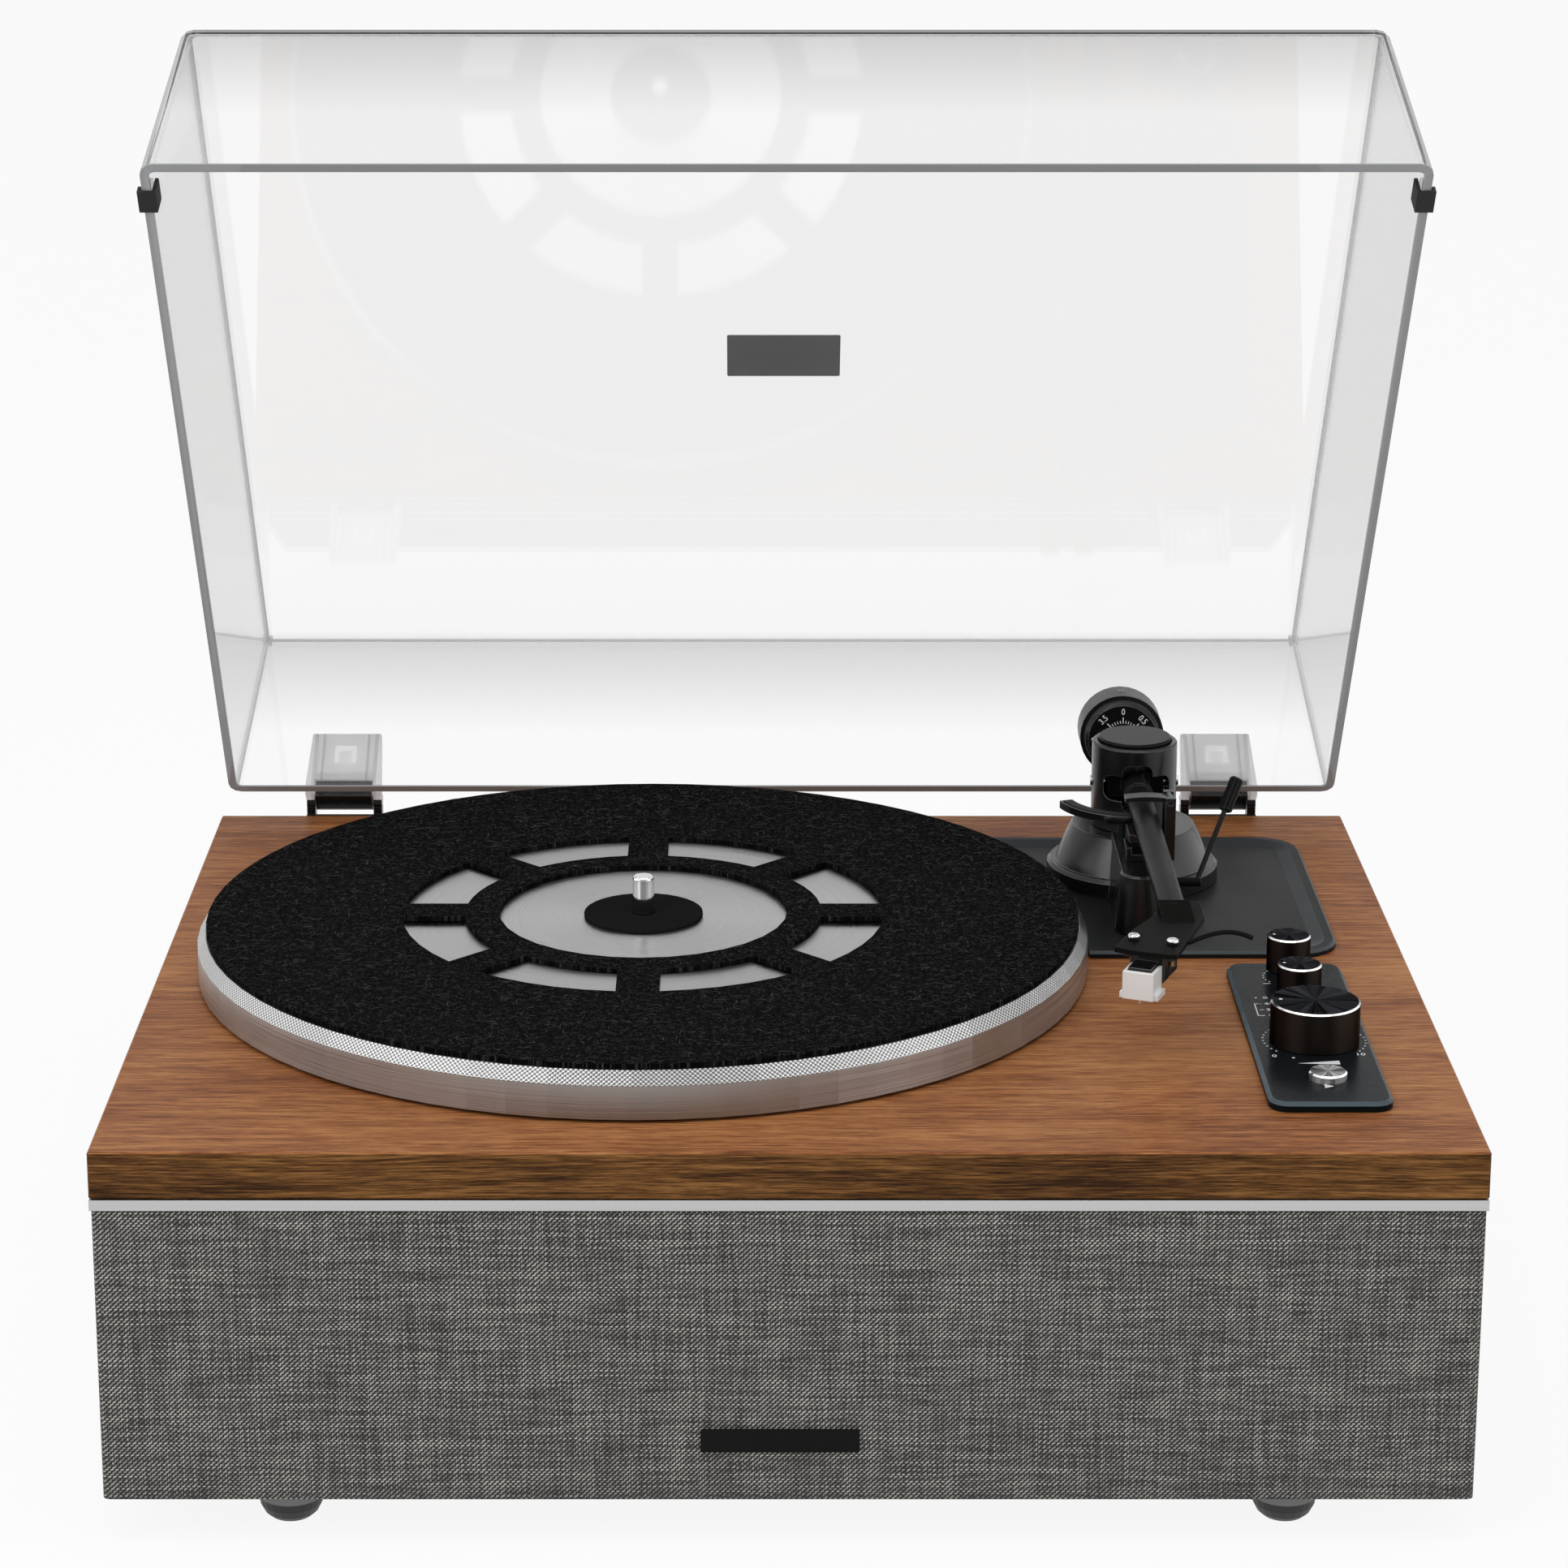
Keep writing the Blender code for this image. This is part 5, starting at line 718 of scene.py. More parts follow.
platterMiddle = middleOf("platter")
platterCentre = Vector((platterMiddle.x, platterMiddle.y, origin.z))
finishes = {
    "walnut": walnutVeneer(),
    "weave": heatherWeave(),
    "felt": woolFelt(),
    "platter": turnedAluminium(platterCentre),
    "acrylic": castAcrylic(),
    "frosted": frostedMoulding(),
    "board": lacqueredBoard(),
    "foot": footFinish(),
    # anodised aluminium, pale and even, with fine lines along the strip
    "trim": brushedMetal("anodisedTrim", "cfcfcf", "b4b4b4", 0.30, 0.25),
    "chrome": mouldedFinish("polishedChrome", "e6e6e8", "d4d4d6", 0.07, 0.8, 0.004, 0.2,
                            {"Metallic": 1.0}),
    "steel": brushedMetal("plainSteel", "9b9b9c", "77777a", 0.34, 0.3, (1, 1, 1), 0.1),
    "brass": brushedMetal("turnedBrass", "c79a4e", "a37a35", 0.28, 0.2, (0, 1, 1)),
    # ABS with a satin moulded skin: dark, with soft grey highlights at its edges
    "satin": mouldedFinish("satinAbs", "0d0d0d", "131313", 0.24, 0.60, 0.002, 0.40,
                           {"Specular IOR Level": 0.36}, rim="747474"),
    # the arm's tube lies almost level, and stays black there only with next to no gloss
    # painted highlight on the tube's rounded edges
    "tube": mouldedFinish("satinTube", "141414", "1a1a1a", 0.34, 0.30, 0.008, 0.40,
                          {"Specular IOR Level": 0.03}, rim="6a6a6a"),
    # painted highlight on the pan's slanted faces
    "pan": mouldedFinish("satinAbsPan", "1a1b1c", "1f2021", 0.34, 0.35, 0.014, 0.30,
                         {"Specular IOR Level": 0.05}, slantHighlight="4b5155"),
    # painted highlight on the plate's slanted faces
    "plate": mouldedFinish("lacqueredPlate", "101316", "15181b", 0.26, 0.30, 0.006, 0.25,
                           {"Specular IOR Level": 0.045}, slantHighlight="4d5a62"),
    # painted highlight on the rounded edges
    "gloss": mouldedFinish("glossAbs", "0b0b0b", "101010", 0.14, 0.9, 0.003, 0.35,
                           {"Specular IOR Level": 0.05}, rim="5a5a5a"),
    # painted steel sheet of the headshell and the hub's printed disc, nearly matt
    # painted highlight on the rounded edges of the painted steel
    "head": mouldedFinish("paintedSteel", "121211", "171716", 0.36, 0.30, 0.008, 0.30,
                          {"Specular IOR Level": 0.008}, rim="3c3c3c"),
    "anodised": mouldedFinish("blackAnodised", "26262a", "2e2e31", 0.34, 0.25, 0.010, 0.30,
                              {"Metallic": 0.75}),
    "hub": mouldedFinish("printedDisc", "191919", "1e1e1e", 0.5, 0.40, 0.004, 0.1,
                         {"Specular IOR Level": 0.0}),
    # rubber and painted board take no clear reflection
    "rubber": mouldedFinish("mattRubber", "0f0f0f", "1a1a1a", 0.68, 0.40, 0.020, 0.15),
    "fibreboard": mouldedFinish("paintedFibreboard", "141414", "1d1d1d", 0.75, 0.60, 0.050, 0.2),
    "paper": mouldedFinish("pressedPaper", "1b1b1b", "292929", 0.85, 0.50, 0.080, 0),
    # pale ABS of the stylus, slightly glossy, cool white
    "pale": mouldedFinish("paleAbs", "e6e6e5", "eeeeed", 0.30, 0.40, 0.006, 0.15),
    "fibre": mouldedFinish("looseFibre", "282828", "565656", 0.6, 1.5, 0.01, 0, None, 1),
    # pad-printed ink, nearly white and matt
    "ink": mouldedFinish("printedInk", "dcdcdc", "e8e8e8", 0.55, 0.30, 0.004, 0),
    "badge": mouldedFinish("lacqueredBadge", "0c0c0c", "121212", 0.22, 0.50, 0.004, 0.15,
                           {"Specular IOR Level": 0.08}),
    "greyPlate": mouldedFinish("greyBadge", "8d8d8d", "979797", 0.45, 0.40, 0.004, 0.1,
                               {"Specular IOR Level": 0.1}),
    # painted light: the clips glow white, standing in for light gathered through the clear lid
    "milky": mouldedFinish("milkyClip", "f2f2f2", "fafafa", 0.30, 0.50, 0.006, 0.1,
                           {"Emission Color": (1, 1, 1, 1), "Emission Strength": 0.28}),
}


def both(name):
    return [name + "_left", name + "_right"]


dressed = {
    "walnut": ["deck_panel"], "trim": ["trim_strip"], "platter": ["platter"],
    "acrylic": ["lid_cover"], "weave": ["grille_cloth"], "felt": ["platter_mat"],
    "fibreboard": ["cabinet_shell", "rear_panel"], "paper": both("speaker_cone"),
    "board": ["main_board", "control_board"],
    "gloss": ["dc_inlet", "column_cap"], "head": ["headshell"], "hub": ["hub_disc"],
    "pan": ["arm_pan"], "plate": ["control_plate"], "tube": ["arm_tube"],
    "satin": ["arm_base", "pivot_column", "cartridge_body", "cue_platform", "cue_lever", "arm_rest",
              "arm_clip", "weight_dial"] + both("hinge_tongue") + both("hinge_base"),
    "anodised": ["counterweight"], "pale": ["stylus_holder"],
    "chrome": ["spindle"] + both("pivot_screw") + both("headshell_screw") + both("hinge_pin"),
    "steel": ["bearing_housing", "motor"] + both("speaker_frame"),
    "brass": ["motor_pulley"] + both("rca_jack"), "rubber": ["drive_belt"] + both("lid_bumper"),
    "frosted": both("hinge_pocket"), "foot": both("foot_front") + both("foot_rear"),
}


def dress(name, material):
    for slot in nodes[name].material_slots:
        slot.material = material


for finish, names in dressed.items():
    for name in names:
        dress(name, finishes[finish])

knobLook = {  # radius, streak tones, side tone and how much light the skin gives back at a slant
    "volume_knob": [14.3, "050505", "46474b", "2b2623", 0.42],
    "tone_knob": [7.3, "050505", "46474b", "2b2623", 0.42],
    "speed_knob": [7.3, "050505", "46474b", "2b2623", 0.42],
    "start_button": [6.0, "4c4c4c", "f6f6f6", "a9a9a9", 1.0],
}
for name, (radius, low, high, side, glaze) in knobLook.items():
    middle = middleOf(name)
    finishes[name] = cutKnob(name.split("_")[0] + "Skin", Vector((middle.x, middle.y, 0)),
                             radius * mm, boxOf(name)[1].z, low, high, side, glaze)
    dress(name, finishes[name])
print("finishes on the CAD parts")


# round parts of the arm and the knobs: the CAD shapes again, shaded smoothly round their curves

roundParts = {  # node: visual name, body, finish, slot
    "arm_base": ("armBase", "root", "satin", "black_satin_plastic"),
    "pivot_column": ("turretBody", "turret", "satin", "black_satin_plastic"),
    "column_cap": ("turretCap", "turret", "gloss", "black_gloss_plastic"),
    "arm_tube": ("armTube", "arm", "tube", "black_satin_plastic"),
    "counterweight": ("weightBody", "counterweight", "anodised", "black_anodised"),
    "weight_dial": ("dialBody", "weight_dial", "satin", "black_satin_plastic"),
    "arm_rest": ("armRest", "root", "satin", "black_satin_plastic"),
    "cue_platform": ("cueArc", "cue_platform", "satin", "black_satin_plastic"),
    "cue_lever": ("cueHandle", "cue_lever", "tube", "black_satin_plastic"),
    "arm_clip": ("armLatch", "arm_clip", "satin", "black_satin_plastic"),
    "volume_knob": ("volumeKnob", "volume_knob", "volume_knob", "black_anodised"),
    "tone_knob": ("toneKnob", "tone_knob", "tone_knob", "black_anodised"),
    "speed_knob": ("speedKnob", "speed_knob", "speed_knob", "black_anodised"),
}
crease = math.radians(36)   # facets that meet at less than this are one curve
weld = 0.001                # corners closer than this are one, mm


def smoothParts():
    for node, (name, body, finish, slot) in roundParts.items():
        bm = bmesh.new()
        bm.from_mesh(nodes[node].data)
        bmesh.ops.remove_doubles(bm, verts=bm.verts, dist=weld * mm)
        for edge in bm.edges:
            edge.smooth = len(edge.link_faces) == 2 and edge.calc_face_angle() < crease
        mesh = bpy.data.meshes.new(name)
        bm.to_mesh(mesh)
        bm.free()
        if "custom_normal" in mesh.attributes:
            mesh.attributes.remove(mesh.attributes["custom_normal"])
        newPiece(name, mesh, finishes[finish], body, [node])


smoothParts()


# speaker cloth, wrapped round the front and both sides

def clothPath(low, high, corner, grid):  # the U from the rear left to the rear right
    left, right, front, back = low.x, high.x, low.y, high.y
    deep, wide = back - front - corner, right - left - 2 * corner
    rows, columns = max(2, round(deep / grid)), max(2, round(wide / grid))
    bend = [math.pi / 2 * i / 4 for i in range(5)]
    points = [(left, back - deep * i / rows) for i in range(rows)]
    points += [polar(corner, math.pi + turn, left + corner, front + corner) for turn in bend]
    points += [(left + corner + wide * i / columns, front) for i in range(1, columns)]
    points += [polar(corner, 1.5 * math.pi + turn, right - corner, front + corner) for turn in bend]
    points += [(right, front + corner + deep * i / rows) for i in range(1, rows + 1)]
    return points


def wrapCloth():
    look = clothLook
    low, high = boxOf("grille_cloth")
    wider, levels = look["padding"] * mm, look["levels"]
    low, high = low - Vector((wider, wider, 0)), high + Vector((wider, 0, 0))
    path = clothPath(low, high, look["corner"] * mm, look["grid"] * mm)

    def build(bm):
        heights = [low.z + (high.z - low.z) * j / levels for j in range(levels + 1)]
        rings = [[bm.verts.new((x, y, z)) for z in heights] for x, y in path]
        for one, two in zip(rings, rings[1:]):
            for j in range(levels):
                bm.faces.new((one[j], two[j], two[j + 1], one[j + 1]))

    cloth = makePiece("grilleCloth", build, Matrix.Identity(4), "weave", "root",
                      ["grille_cloth"], smooth=True)
    normal = cloth.data.polygons[len(path) * levels // 2].normal
    wall = cloth.modifiers.new("thickness", "SOLIDIFY")
    wall.thickness = look["thick"] * mm + wider
    wall.offset = -1 if normal.y < 0 else 1


wrapCloth()


# felt mat with loose fibres on it

fibreLook = {  # lengths in mm; a fibre lies anywhere on the mat but over its windows
    "count": 1700, "length": 3.8, "width": 0.09, "bends": 5, "seed": 11,
    "reach": 147, "edge": 148.5, "windowsEnd": 84, "ring": (50, 58), "lie": 0.03, "arch": 0.16,
}


def layMat():
    look = fibreLook
    mesh = nodes["platter_mat"].data.copy()
    mat = newPiece("feltMat", mesh, finishes["felt"], "platter", ["platter_mat"],
                   smooth=False)
    softEdges(mat, 0.35)
    low, high = boxOf("platter_mat")
    random.seed(look["seed"])

    def build(bm):
        made = 0
        while made < look["count"]:
            reach = math.sqrt(random.random()) * look["reach"]
            if reach < look["windowsEnd"] and not look["ring"][0] < reach < look["ring"][1]:
                continue
            made += 1
            x, y = polar(reach, random.uniform(0, 2 * math.pi))
            heading = random.uniform(0, 2 * math.pi)
            bend = random.uniform(-0.5, 0.5)
            step = look["length"] * random.uniform(0.5, 1.2) / look["bends"]
            half = look["width"] / 2
            rings = []
            for i in range(look["bends"] + 1):
                if math.hypot(x, y) > look["edge"]:
                    break
                rise = look["lie"] + look["arch"] * math.sin(math.pi * i / look["bends"])
                sideX, sideY = -math.sin(heading) * half, math.cos(heading) * half
                rings.append(addRing(bm, ((x + sideX, y + sideY, rise),
                                          (x - sideX, y - sideY, rise), (x, y, rise + half))))
                x, y = polar(step, heading, x, y)
                heading += bend
            for one, two in zip(rings, rings[1:]):
                joinRings(bm, one, two)
            if len(rings) > 1:
                bm.faces.new(rings[0])
                bm.faces.new(rings[-1])

    place = Matrix.Translation((platterCentre.x, platterCentre.y, high.z))
    loose = makePiece("matFibres", build, place, "fibre", "platter", smooth=True)


layMat()


# printed marks: numbers, dots and dashes as thin films of ink

def textMesh(text, size, thickness):
    curve = bpy.data.curves.new("digits", "FONT")
    curve.body = text
    curve.size = size * mm
    curve.align_x = curve.align_y = "CENTER"
    curve.extrude = thickness / 2 * mm
    curve.offset = 0.02 * mm
    curve.resolution_u = 3
    holder = bpy.data.objects.new("digits", curve)
    bpy.context.scene.collection.objects.link(holder)
    graph = bpy.context.evaluated_depsgraph_get()
    mesh = bpy.data.meshes.new_from_object(holder.evaluated_get(graph))
    bpy.data.objects.remove(holder)
    bpy.data.curves.remove(curve)
    return mesh


def addText(bm, text, x, y, size, thickness, turn, wide):
    mesh = textMesh(text, size, thickness)
    place = Matrix.Translation(Vector((x, y, thickness / 2)) * mm)
    mesh.transform(place @ Matrix.Rotation(turn, 4, "Z") @ Matrix.Diagonal((wide, 1, 1, 1)))
    bm.from_mesh(mesh)
    bpy.data.meshes.remove(mesh)


def addDot(bm, x, y, radius, thickness, steps=16):
    addSlab(bm, [polar(radius, 2 * math.pi * i / steps, x, y) for i in range(steps)], 0, thickness)


def addBar(bm, x0, y0, x1, y1, width, thickness):
    run = Vector((x1 - x0, y1 - y0)).normalized() * width / 2
    addSlab(bm, [(x0 + run.y, y0 - run.x), (x1 + run.y, y1 - run.x), (x1 - run.y, y1 + run.x),
                 (x0 - run.y, y0 + run.x)], 0, thickness)


plateMarks = {  # millimetres from the middle of the deck's front top edge
    "ink": 0.05, "digit": 2.9, "wide": 1.15,   # film, height of a digit and how far it is stretched
    "rows": [("0", 127.1), ("45", 121.4), ("33", 115.7), ("0", 110.2)], "rowsX": 157.0,
    "digitStep": 0.55, "rowMarkX": 153.9, "rowDot": 0.4, "rowDash": 1.3, "dashWidth": 0.35,
    "bracket": [(155.0, 121.4), (152.8, 121.4), (152.8, 110.2), (155.0, 110.2)],
    "bracketWidth": 0.38,
    "toneDots": [(160.6, 153.3), (159.5, 151.3), (158.8, 149.1), (158.7, 146.9), (159.2, 144.7),
                 (160.2, 142.9)], "toneDot": 0.32,
    "toneDash": (157.9, 141.0, 160.3, 141.0), "toneDashWidth": 0.4,
    "scaleRadius": 16.3, "scaleDots": 29, "dot": 0.36, "scaleFrom": -144, "scaleTo": -396,
    "scaleEnds": [("0", 153.6, 73.2), ("10", 180.9, 74.6)], "offDot": (159.4, 71.5, 0.5),
    "wedge": [(160.4, 66.6), (173.4, 65.6), (173.4, 68.9)],
    "play": [(166.0, 45.0), (168.9, 46.7), (166.0, 48.4)],
}


def printPlate():
    marks = plateMarks
    ink, rowX = marks["ink"], marks["rowMarkX"]
    knob = middleOf("volume_knob") - origin

    def build(bm):
        for text, y in marks["rows"]:
            addText(bm, text, marks["rowsX"] + marks["digitStep"] * (len(text) - 1), y,
                    marks["digit"], ink, 0, marks["wide"])
        addDot(bm, rowX, marks["rows"][0][1], marks["rowDot"], ink)
        for text, y in marks["rows"][1:3]:
            addBar(bm, rowX, y, rowX + marks["rowDash"], y, marks["dashWidth"], ink)
        for one, two in zip(marks["bracket"], marks["bracket"][1:]):
            addBar(bm, *one, *two, marks["bracketWidth"], ink)
        for x, y in marks["toneDots"]:
            addDot(bm, x, y, marks["toneDot"], ink)
        addBar(bm, *marks["toneDash"], marks["toneDashWidth"], ink)
        first, last, count = marks["scaleFrom"], marks["scaleTo"], marks["scaleDots"]
        for i in range(count):
            turn = first + (last - first) * i / (count - 1)
            addDot(bm, *polar(marks["scaleRadius"], math.radians(turn), knob.x / mm, knob.y / mm),
                   marks["dot"], ink)
        for text, x, y in marks["scaleEnds"]:
            addText(bm, text, x, y, marks["digit"], ink, 0, marks["wide"])
        addDot(bm, *marks["offDot"], ink)
        addSlab(bm, marks["wedge"], 0, ink)
        addSlab(bm, marks["play"], 0, ink)

    place = Matrix.Translation((origin.x, origin.y, boxOf("control_plate")[1].z))
    makePiece("plateMarks", build, place, "ink", "root")


knobDots = {  # place, measured in the same way, and radius
    "tone_knob": (163.0, 156.0, 0.5), "speed_knob": (162.9, 127.4, 0.5),
    "volume_knob": (156.9, 87.9, 0.6),
}
knobInk = 0.08   # film, mm


def printKnobs():
    for name, dot in knobDots.items():
        place = Matrix.Translation((origin.x, origin.y, boxOf(name)[1].z))
        makePiece(name.split("_")[0] + "KnobDot", lambda bm: addDot(bm, *dot, knobInk), place,
                  "ink", name)


printPlate()
printKnobs()
print("marks on the control plate and the knobs")


# tracking-force dial: eight values round it, ticks, and a knurled grip

dialLook = {
    "values": ["0", "0.5", "1", "1.5", "2", "2.5", "3", "3.5"], "digit": 3.3, "digitRadius": 10.2,
    "narrow": 0.85,   # how far a digit is squeezed
    "ticks": 40, "tickFrom": 5.9, "tickTo": 7.0, "mainTo": 8.2, "tickWidth": 0.28, "mainWider": 1.3,
    "ink": 0.05, "teeth": 100, "groove": 0.35, "gripLow": 13.3, "gripHigh": 14.0, "gripFrom": -2.1,
    "gripTo": -4.2,
}
dialMiddle = middleOf("weight_dial")
dialFrame = upright(dialMiddle.x, boxOf("weight_dial")[0].y, dialMiddle.z)


def markDial():
    look = dialLook

    def build(bm):
        for i, text in enumerate(look["values"]):
            turn = math.pi / 2 - i * math.pi / 4
            addText(bm, text, *polar(look["digitRadius"], turn), look["digit"], look["ink"],
                    turn - math.pi / 2, look["narrow"])
        for i in range(look["ticks"]):
            turn = math.pi / 2 - i * math.pi / (look["ticks"] / 2)
            main = i % (look["ticks"] // len(look["values"])) == 0
            end = polar(look["mainTo" if main else "tickTo"], turn)
            width = look["tickWidth"] * (look["mainWider"] if main else 1)
            addBar(bm, *polar(look["tickFrom"], turn), *end, width, look["ink"])

    def grip(bm):
        turns = [2 * math.pi * i / (look["teeth"] * 2) for i in range(look["teeth"] * 2)]
        inside = [polar(look["gripLow"], turn) for turn in turns]
        outside = [polar(look["gripHigh"] - look["groove"] * (i % 2), turn)
                   for i, turn in enumerate(turns)]
        frontIn, frontOut, backIn, backOut = [
            addRing(bm, [(x, y, level) for x, y in outline])
            for level in (look["gripFrom"], look["gripTo"]) for outline in (inside, outside)]
        for one, two in ((frontIn, frontOut), (frontOut, backOut), (backOut, backIn),
                         (backIn, frontIn)):
            joinRings(bm, one, two)

    makePiece("dialMarks", build, dialFrame, "ink", "weight_dial")
    makePiece("dialGrip", grip, dialFrame, "satin", "weight_dial")


markDial()


# small hardware: headshell screws, the headshell's neck, the weight's set screw, the cue pad

hardware = {
    "dome": [(0, 0.05), (0.55, 0), (0.86, -0.2), (1, -0.55)],   # shares of the radius, and heights
    "screwHead": 1.9, "screwHeight": 1.9, "slotWidth": 0.55, "slotDepth": 0.7, "slotReach": 3,
    "shank": 1.2, "slotTurns": {"left": 35, "right": -27}, "edge": 0.06, "steps": 40,
}


def slottedScrew(side, turn):
    look = hardware
    low, high = boxOf("headshell_screw_" + side)
    bottom = (low.z - high.z) / mm
    radius, under, shank = look["screwHead"], -look["screwHeight"], look["shank"]
    profile = [(radius * share, height) for share, height in look["dome"]]
    profile += [(radius, under), (shank, under), (shank, bottom), (0, bottom)]
    place = Matrix.Translation(((low.x + high.x) / 2, (low.y + high.y) / 2, high.z))
    screw = makePiece("headScrew" + side.capitalize(),
                      lambda bm: addTurned(bm, profile, look["steps"]), place, "chrome", "arm",
                      ["headshell_screw_" + side], smooth=True)
    half, far = look["slotWidth"] / 2, look["slotReach"]
    outline = [(-far, -half), (far, -half), (far, half), (-far, half)]
    cutAway(screw, meshOf("slot", lambda bm: addSlab(bm, outline, -look["slotDepth"], 1),
                          place @ Matrix.Rotation(math.radians(turn), 4, "Z")))
    softEdges(screw, look["edge"], 1)


headNeck = {  # left, right, place along the arm and height of each end
    "rear": (-5.2, 5.2, 0.3, 4.45), "front": (-4.4, 6.2, -11.0, 0.28),
    "under": -1.2, "edge": 0.25,
}


def foldNeck():  # the headshell's tail rises to the top of the tube and closes its end
    look, under = headNeck, headNeck["under"]
    axis = Vector((middleOf("pivot_column").x, boxOf("arm_tube")[0].y,
                   middleOf("pivot_screw_left").z))

    def build(bm):
        ends = [addRing(bm, ((left, y, under), (right, y, under), (right, y, top), (left, y, top)))
                for left, right, y, top in (look["rear"], look["front"])]
        joinRings(bm, *ends)
        bm.faces.new(ends[0])
        bm.faces.new(ends[1])

    makePiece("headshellNeck", build, Matrix.Translation(axis), "head", "arm",
              edge=look["edge"])


foldNeck()
for side, turn in hardware["slotTurns"].items():
    slottedScrew(side, turn)

setScrew = {  # radius, height and sides of each ring, 0 for a round one
    "rings": [(1.25, -0.5, 0), (1.25, 0.12, 0), (1.1, 0.2, 0), (0.75, 0.2, 6), (0.75, -0.45, 6)],
    "along": 0.48,    # share of the weight's length
    "steps": 24,
}


def turnSetScrew():
    look = setScrew
    low, high = boxOf("counterweight")
    middle = Vector(((low.x + high.x) / 2, low.y + (high.y - low.y) * look["along"], high.z))

    def reachOf(radius, sides, angle):
        if not sides:
            return radius
        part = (angle + math.pi / sides) % (2 * math.pi / sides) - math.pi / sides
        return radius * math.cos(math.pi / sides) / math.cos(part)

    def build(bm):
        angles = [2 * math.pi * i / look["steps"] for i in range(look["steps"])]
        loops = [addRing(bm, [(*polar(reachOf(radius, sides, angle), angle), height)
                              for angle in angles]) for radius, height, sides in look["rings"]]
        for one, two in zip(loops, loops[1:]):
            joinRings(bm, one, two)
        bm.faces.new(loops[-1])
        bm.faces.new(loops[0][::-1])

    makePiece("weightSetScrew", build, Matrix.Translation(middle), "steel", "counterweight")


turnSetScrew()

cuePad = {
    "inner": 24.1, "outer": 27.3, "from": -86, "to": -161, "steps": 28,
    "sunk": -0.05, "height": 0.35, "edge": 0.12,
}


def cueRubber():
    look, steps = cuePad, cuePad["steps"]
    pivot = middleOf("pivot_column")
    start, end = look["from"], look["to"]
    outline = [(look["outer"], start + (end - start) * i / steps) for i in range(steps + 1)]
    outline += [(look["inner"], end + (start - end) * i / steps) for i in range(steps + 1)]
    outline = [polar(radius, math.radians(angle)) for radius, angle in outline]
    place = Matrix.Translation((pivot.x, pivot.y, boxOf("cue_platform")[1].z))
    makePiece("cuePad", lambda bm: addSlab(bm, outline, look["sunk"], look["height"]), place,
              "rubber", "cue_platform", edge=look["edge"])


cueRubber()
print("dial, screws and cue pad")


# bare badges: one on the cloth, one on the lid, and the clips in the hinge pockets

badges = {  # left, right, low and high sides, where the slab starts and ends, and its rounding
    "front": {"sides": (-26.8, 21.7, -97.6, -90.0), "from": -0.05, "to": 0.7,
              "corner": 0.5, "edge": 0.15},
    "lid": {"sides": (-19.95, 20.6, -175.2, -154.7), "from": 73.32, "to": 73.82,
            "corner": 0.6, "edge": 0.1},
}


def layBadge(name, look, place, finish, body):
    left, right, low, high = look["sides"]
    outline = roundRect(right - left, high - low, look["corner"], (left + right) / 2,
                        (low + high) / 2)
    makePiece(name, lambda bm: addSlab(bm, outline, look["from"], look["to"]), place, finish, body,
              edge=look["edge"])


pocketClip = {"width": 8.0, "leg": 1.5, "top": 18.8, "low": 10.8, "bridge": 2.2, "near": -8.6,
              "thick": 0.5}


def pocketClips():
    look = pocketClip
    half, low, top = look["width"] / 2, look["low"], look["top"]
    inner, under = half - look["leg"], top - look["bridge"]
    outline = [(-half, low), (-inner, low), (-inner, under), (inner, under), (inner, low),
               (half, low), (half, top), (-half, top)]
    for side, sign in (("Left", -1), ("Right", 1)):
        # the outline stands up against the pocket's front face, in the shut lid's directions
        place = lidFrame @ upright(sign * pocketLook["out"] * mm, look["near"] * mm, 0)
        makePiece("pocketClip" + side, lambda bm: addSlab(bm, outline, 0, look["thick"]), place,
                  "milky", "lid")


clothFace = boxOf("grille_cloth")[0].y - clothLook["padding"] * mm
layBadge("frontBadge", badges["front"], upright(origin.x, clothFace, origin.z), "badge", "root")
layBadge("lidBadge", badges["lid"], lidFrame, "greyPlate", "lid")
pocketClips()
print("badges and pocket clips")


# floor, light and camera

studio = {
    "floorSize": 8.0, "floorTone": "f4f4f4", "floorGlow": 0.90,
    "lamps": {  # place in m from the deck's front edge, watts, width and length
        "overheadSoftbox": ((0.0, -0.25, 1.25), 4.2, 1.3, 0.6),
        "leftSoftbox": ((-0.95, -0.75, 0.95), 6.0, 0.8, 0.8),
        "rightFill": ((1.2, -0.5, 0.7), 2.0, 0.5, 0.8),
    },
    "lampsAim": (0, 0.17, 0.0),
    "skyDiffuse": 0.55, "ahead": 0.65, "aside": 0.35, "up": 0.9,   # the room brightens each way
    # from, to, darkest, brightest
    "walls": (-0.45, 0.55, 0.28, 1.02), "wings": (0.55, 0.92, 0.0, 0.9),
    "cameraPlace": (-11.4, -1185.7, 475.5), "cameraDown": 15.09, "lens": 97.4944,
    "shiftX": 0.02108, "shiftY": -0.08592, "sensor": 36,
}


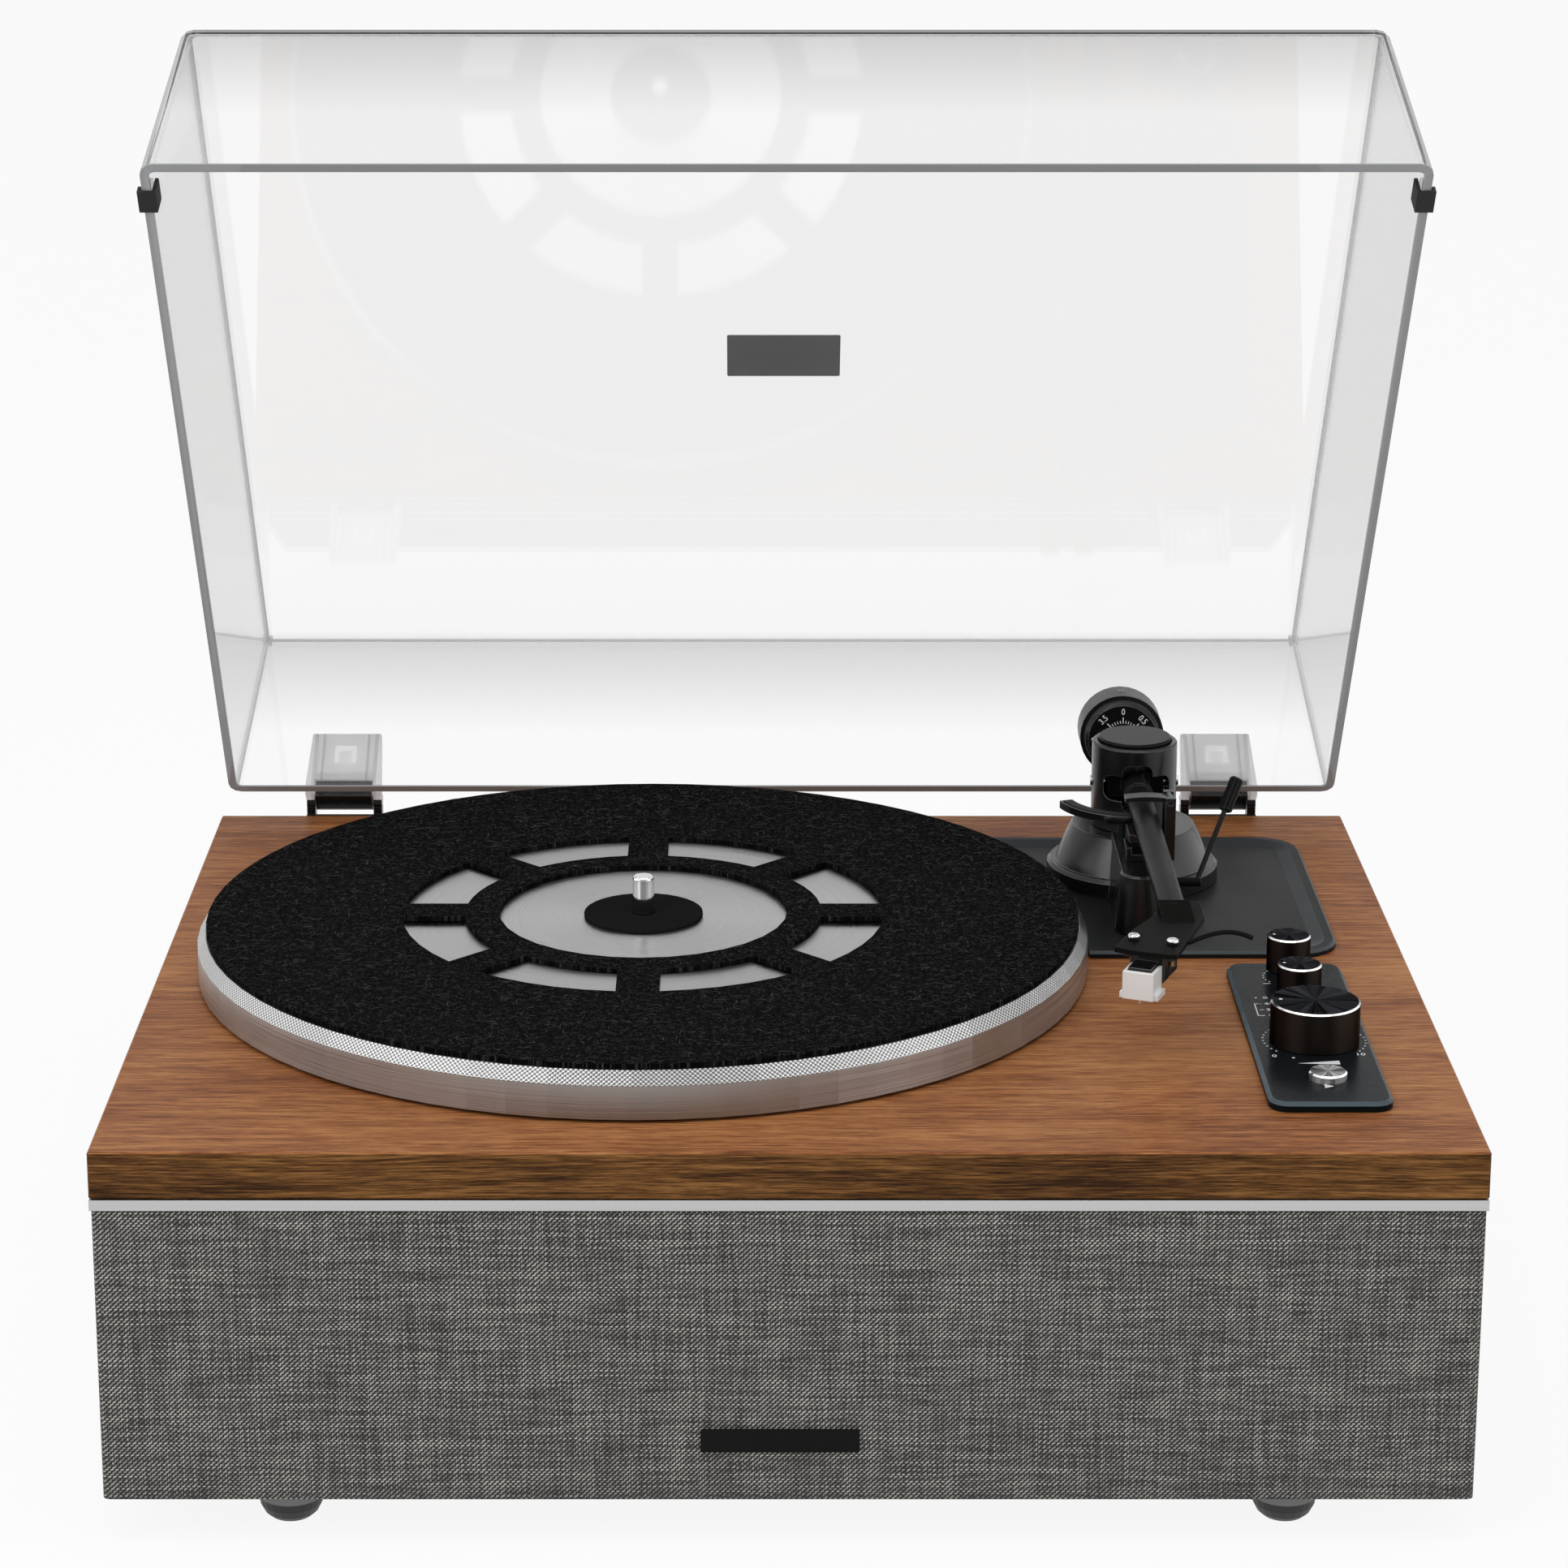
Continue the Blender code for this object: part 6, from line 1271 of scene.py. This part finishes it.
def layFloor():
    half = studio["floorSize"] / 2
    mesh = bpy.data.meshes.new("floor")
    level = cadBox[0][2]
    mesh.from_pydata([(-half, -half, level), (half, -half, level), (half, half, level),
                      (-half, half, level)], [], [(0, 1, 2, 3)])
    floor = bpy.data.objects.new("floor", mesh)
    bpy.context.scene.collection.objects.link(floor)
    finish = {"Base Color": studio["floorTone"], "Roughness": 0.9, "Specular IOR Level": 0.0}
    material, shader, ray = newMaterial("paperFloor", finish, "LightPath")
    seen = addNode(shader, "Math", [ray["Is Camera Ray"], ray["Is Glossy Ray"]],
                   operation="MAXIMUM")
    through = addNode(shader, "Math", [seen, ray["Is Transmission Ray"]], operation="MAXIMUM")
    share = addNode(shader, "Math", [through, studio["floorGlow"]], operation="MULTIPLY")
    white = addNode(shader, "Emission", {"Color": "ffffff", "Strength": 1.0})
    mix = addNode(shader, "MixShader", {0: share, 1: shader, 2: white})
    setInputs(material.node_tree.nodes["Material Output"], {"Surface": mix})
    mesh.materials.append(material)
    floor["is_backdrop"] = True


def hangLamp(name, place, power, width, length):
    lamp = bpy.data.lights.new(name, "AREA")
    lamp.shape = "RECTANGLE"
    lamp.size = width
    lamp.size_y = length
    lamp.energy = power
    holder = bpy.data.objects.new(name, lamp)
    holder.location = origin + Vector(place)
    ray = Vector(studio["lampsAim"]) - Vector(place)
    holder.rotation_euler = ray.to_track_quat("-Z", "Y").to_euler()
    bpy.context.scene.collection.objects.link(holder)


def lightStudio():
    for name, lamp in studio["lamps"].items():
        hangLamp(name, *lamp)
    world = bpy.data.worlds.new("paleStudio")
    bpy.context.scene.world = world
    world.use_nodes = True
    sky = world.node_tree.nodes["Background"]
    ray = addNode(sky, "LightPath").outputs
    clear = addNode(sky, "Math", [ray["Is Camera Ray"], ray["Is Transmission Ray"]],
                    operation="MAXIMUM")
    # the room is white behind and above, and dims towards the front, where the camera stands
    parts = addNode(sky, "SeparateXYZ", [addNode(sky, "TexCoord").outputs["Generated"]]).outputs
    front = addNode(sky, "Math", [parts["Y"], studio["ahead"], 0.0], operation="MULTIPLY_ADD")
    aside = addNode(sky, "Math", [parts["X"]], operation="ABSOLUTE")
    around = addNode(sky, "Math", [aside, studio["aside"], front], operation="MULTIPLY_ADD")
    lift = addNode(sky, "Math", [parts["Z"], studio["up"], around], operation="MULTIPLY_ADD")
    walls = addNode(sky, "MapRange", [lift, *studio["walls"]])
    wings = addNode(sky, "MapRange", [aside, *studio["wings"]])
    room = addNode(sky, "Math", [walls, wings], operation="ADD")
    glossy = addNode(sky, "Mix", {0: ray["Is Glossy Ray"], 2: studio["skyDiffuse"], 3: room})
    strength = addNode(sky, "Mix", {0: clear, 2: glossy, 3: 1.0})
    setInputs(sky, {"Color": "ffffff", "Strength": strength})


def placeCamera():
    camera = bpy.data.cameras.new("camera")
    camera.sensor_width = studio["sensor"]
    camera.lens = studio["lens"]
    camera.shift_x = studio["shiftX"]
    camera.shift_y = studio["shiftY"]
    holder = bpy.data.objects.new("camera", camera)
    holder.location = at(*studio["cameraPlace"])
    holder.rotation_euler = (math.radians(90 - studio["cameraDown"]), 0, 0)
    bpy.context.scene.collection.objects.link(holder)
    bpy.context.scene.camera = holder


layFloor()
lightStudio()
placeCamera()
bpy.context.scene.view_settings.view_transform = "Standard"
print("floor, light and camera")

low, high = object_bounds()
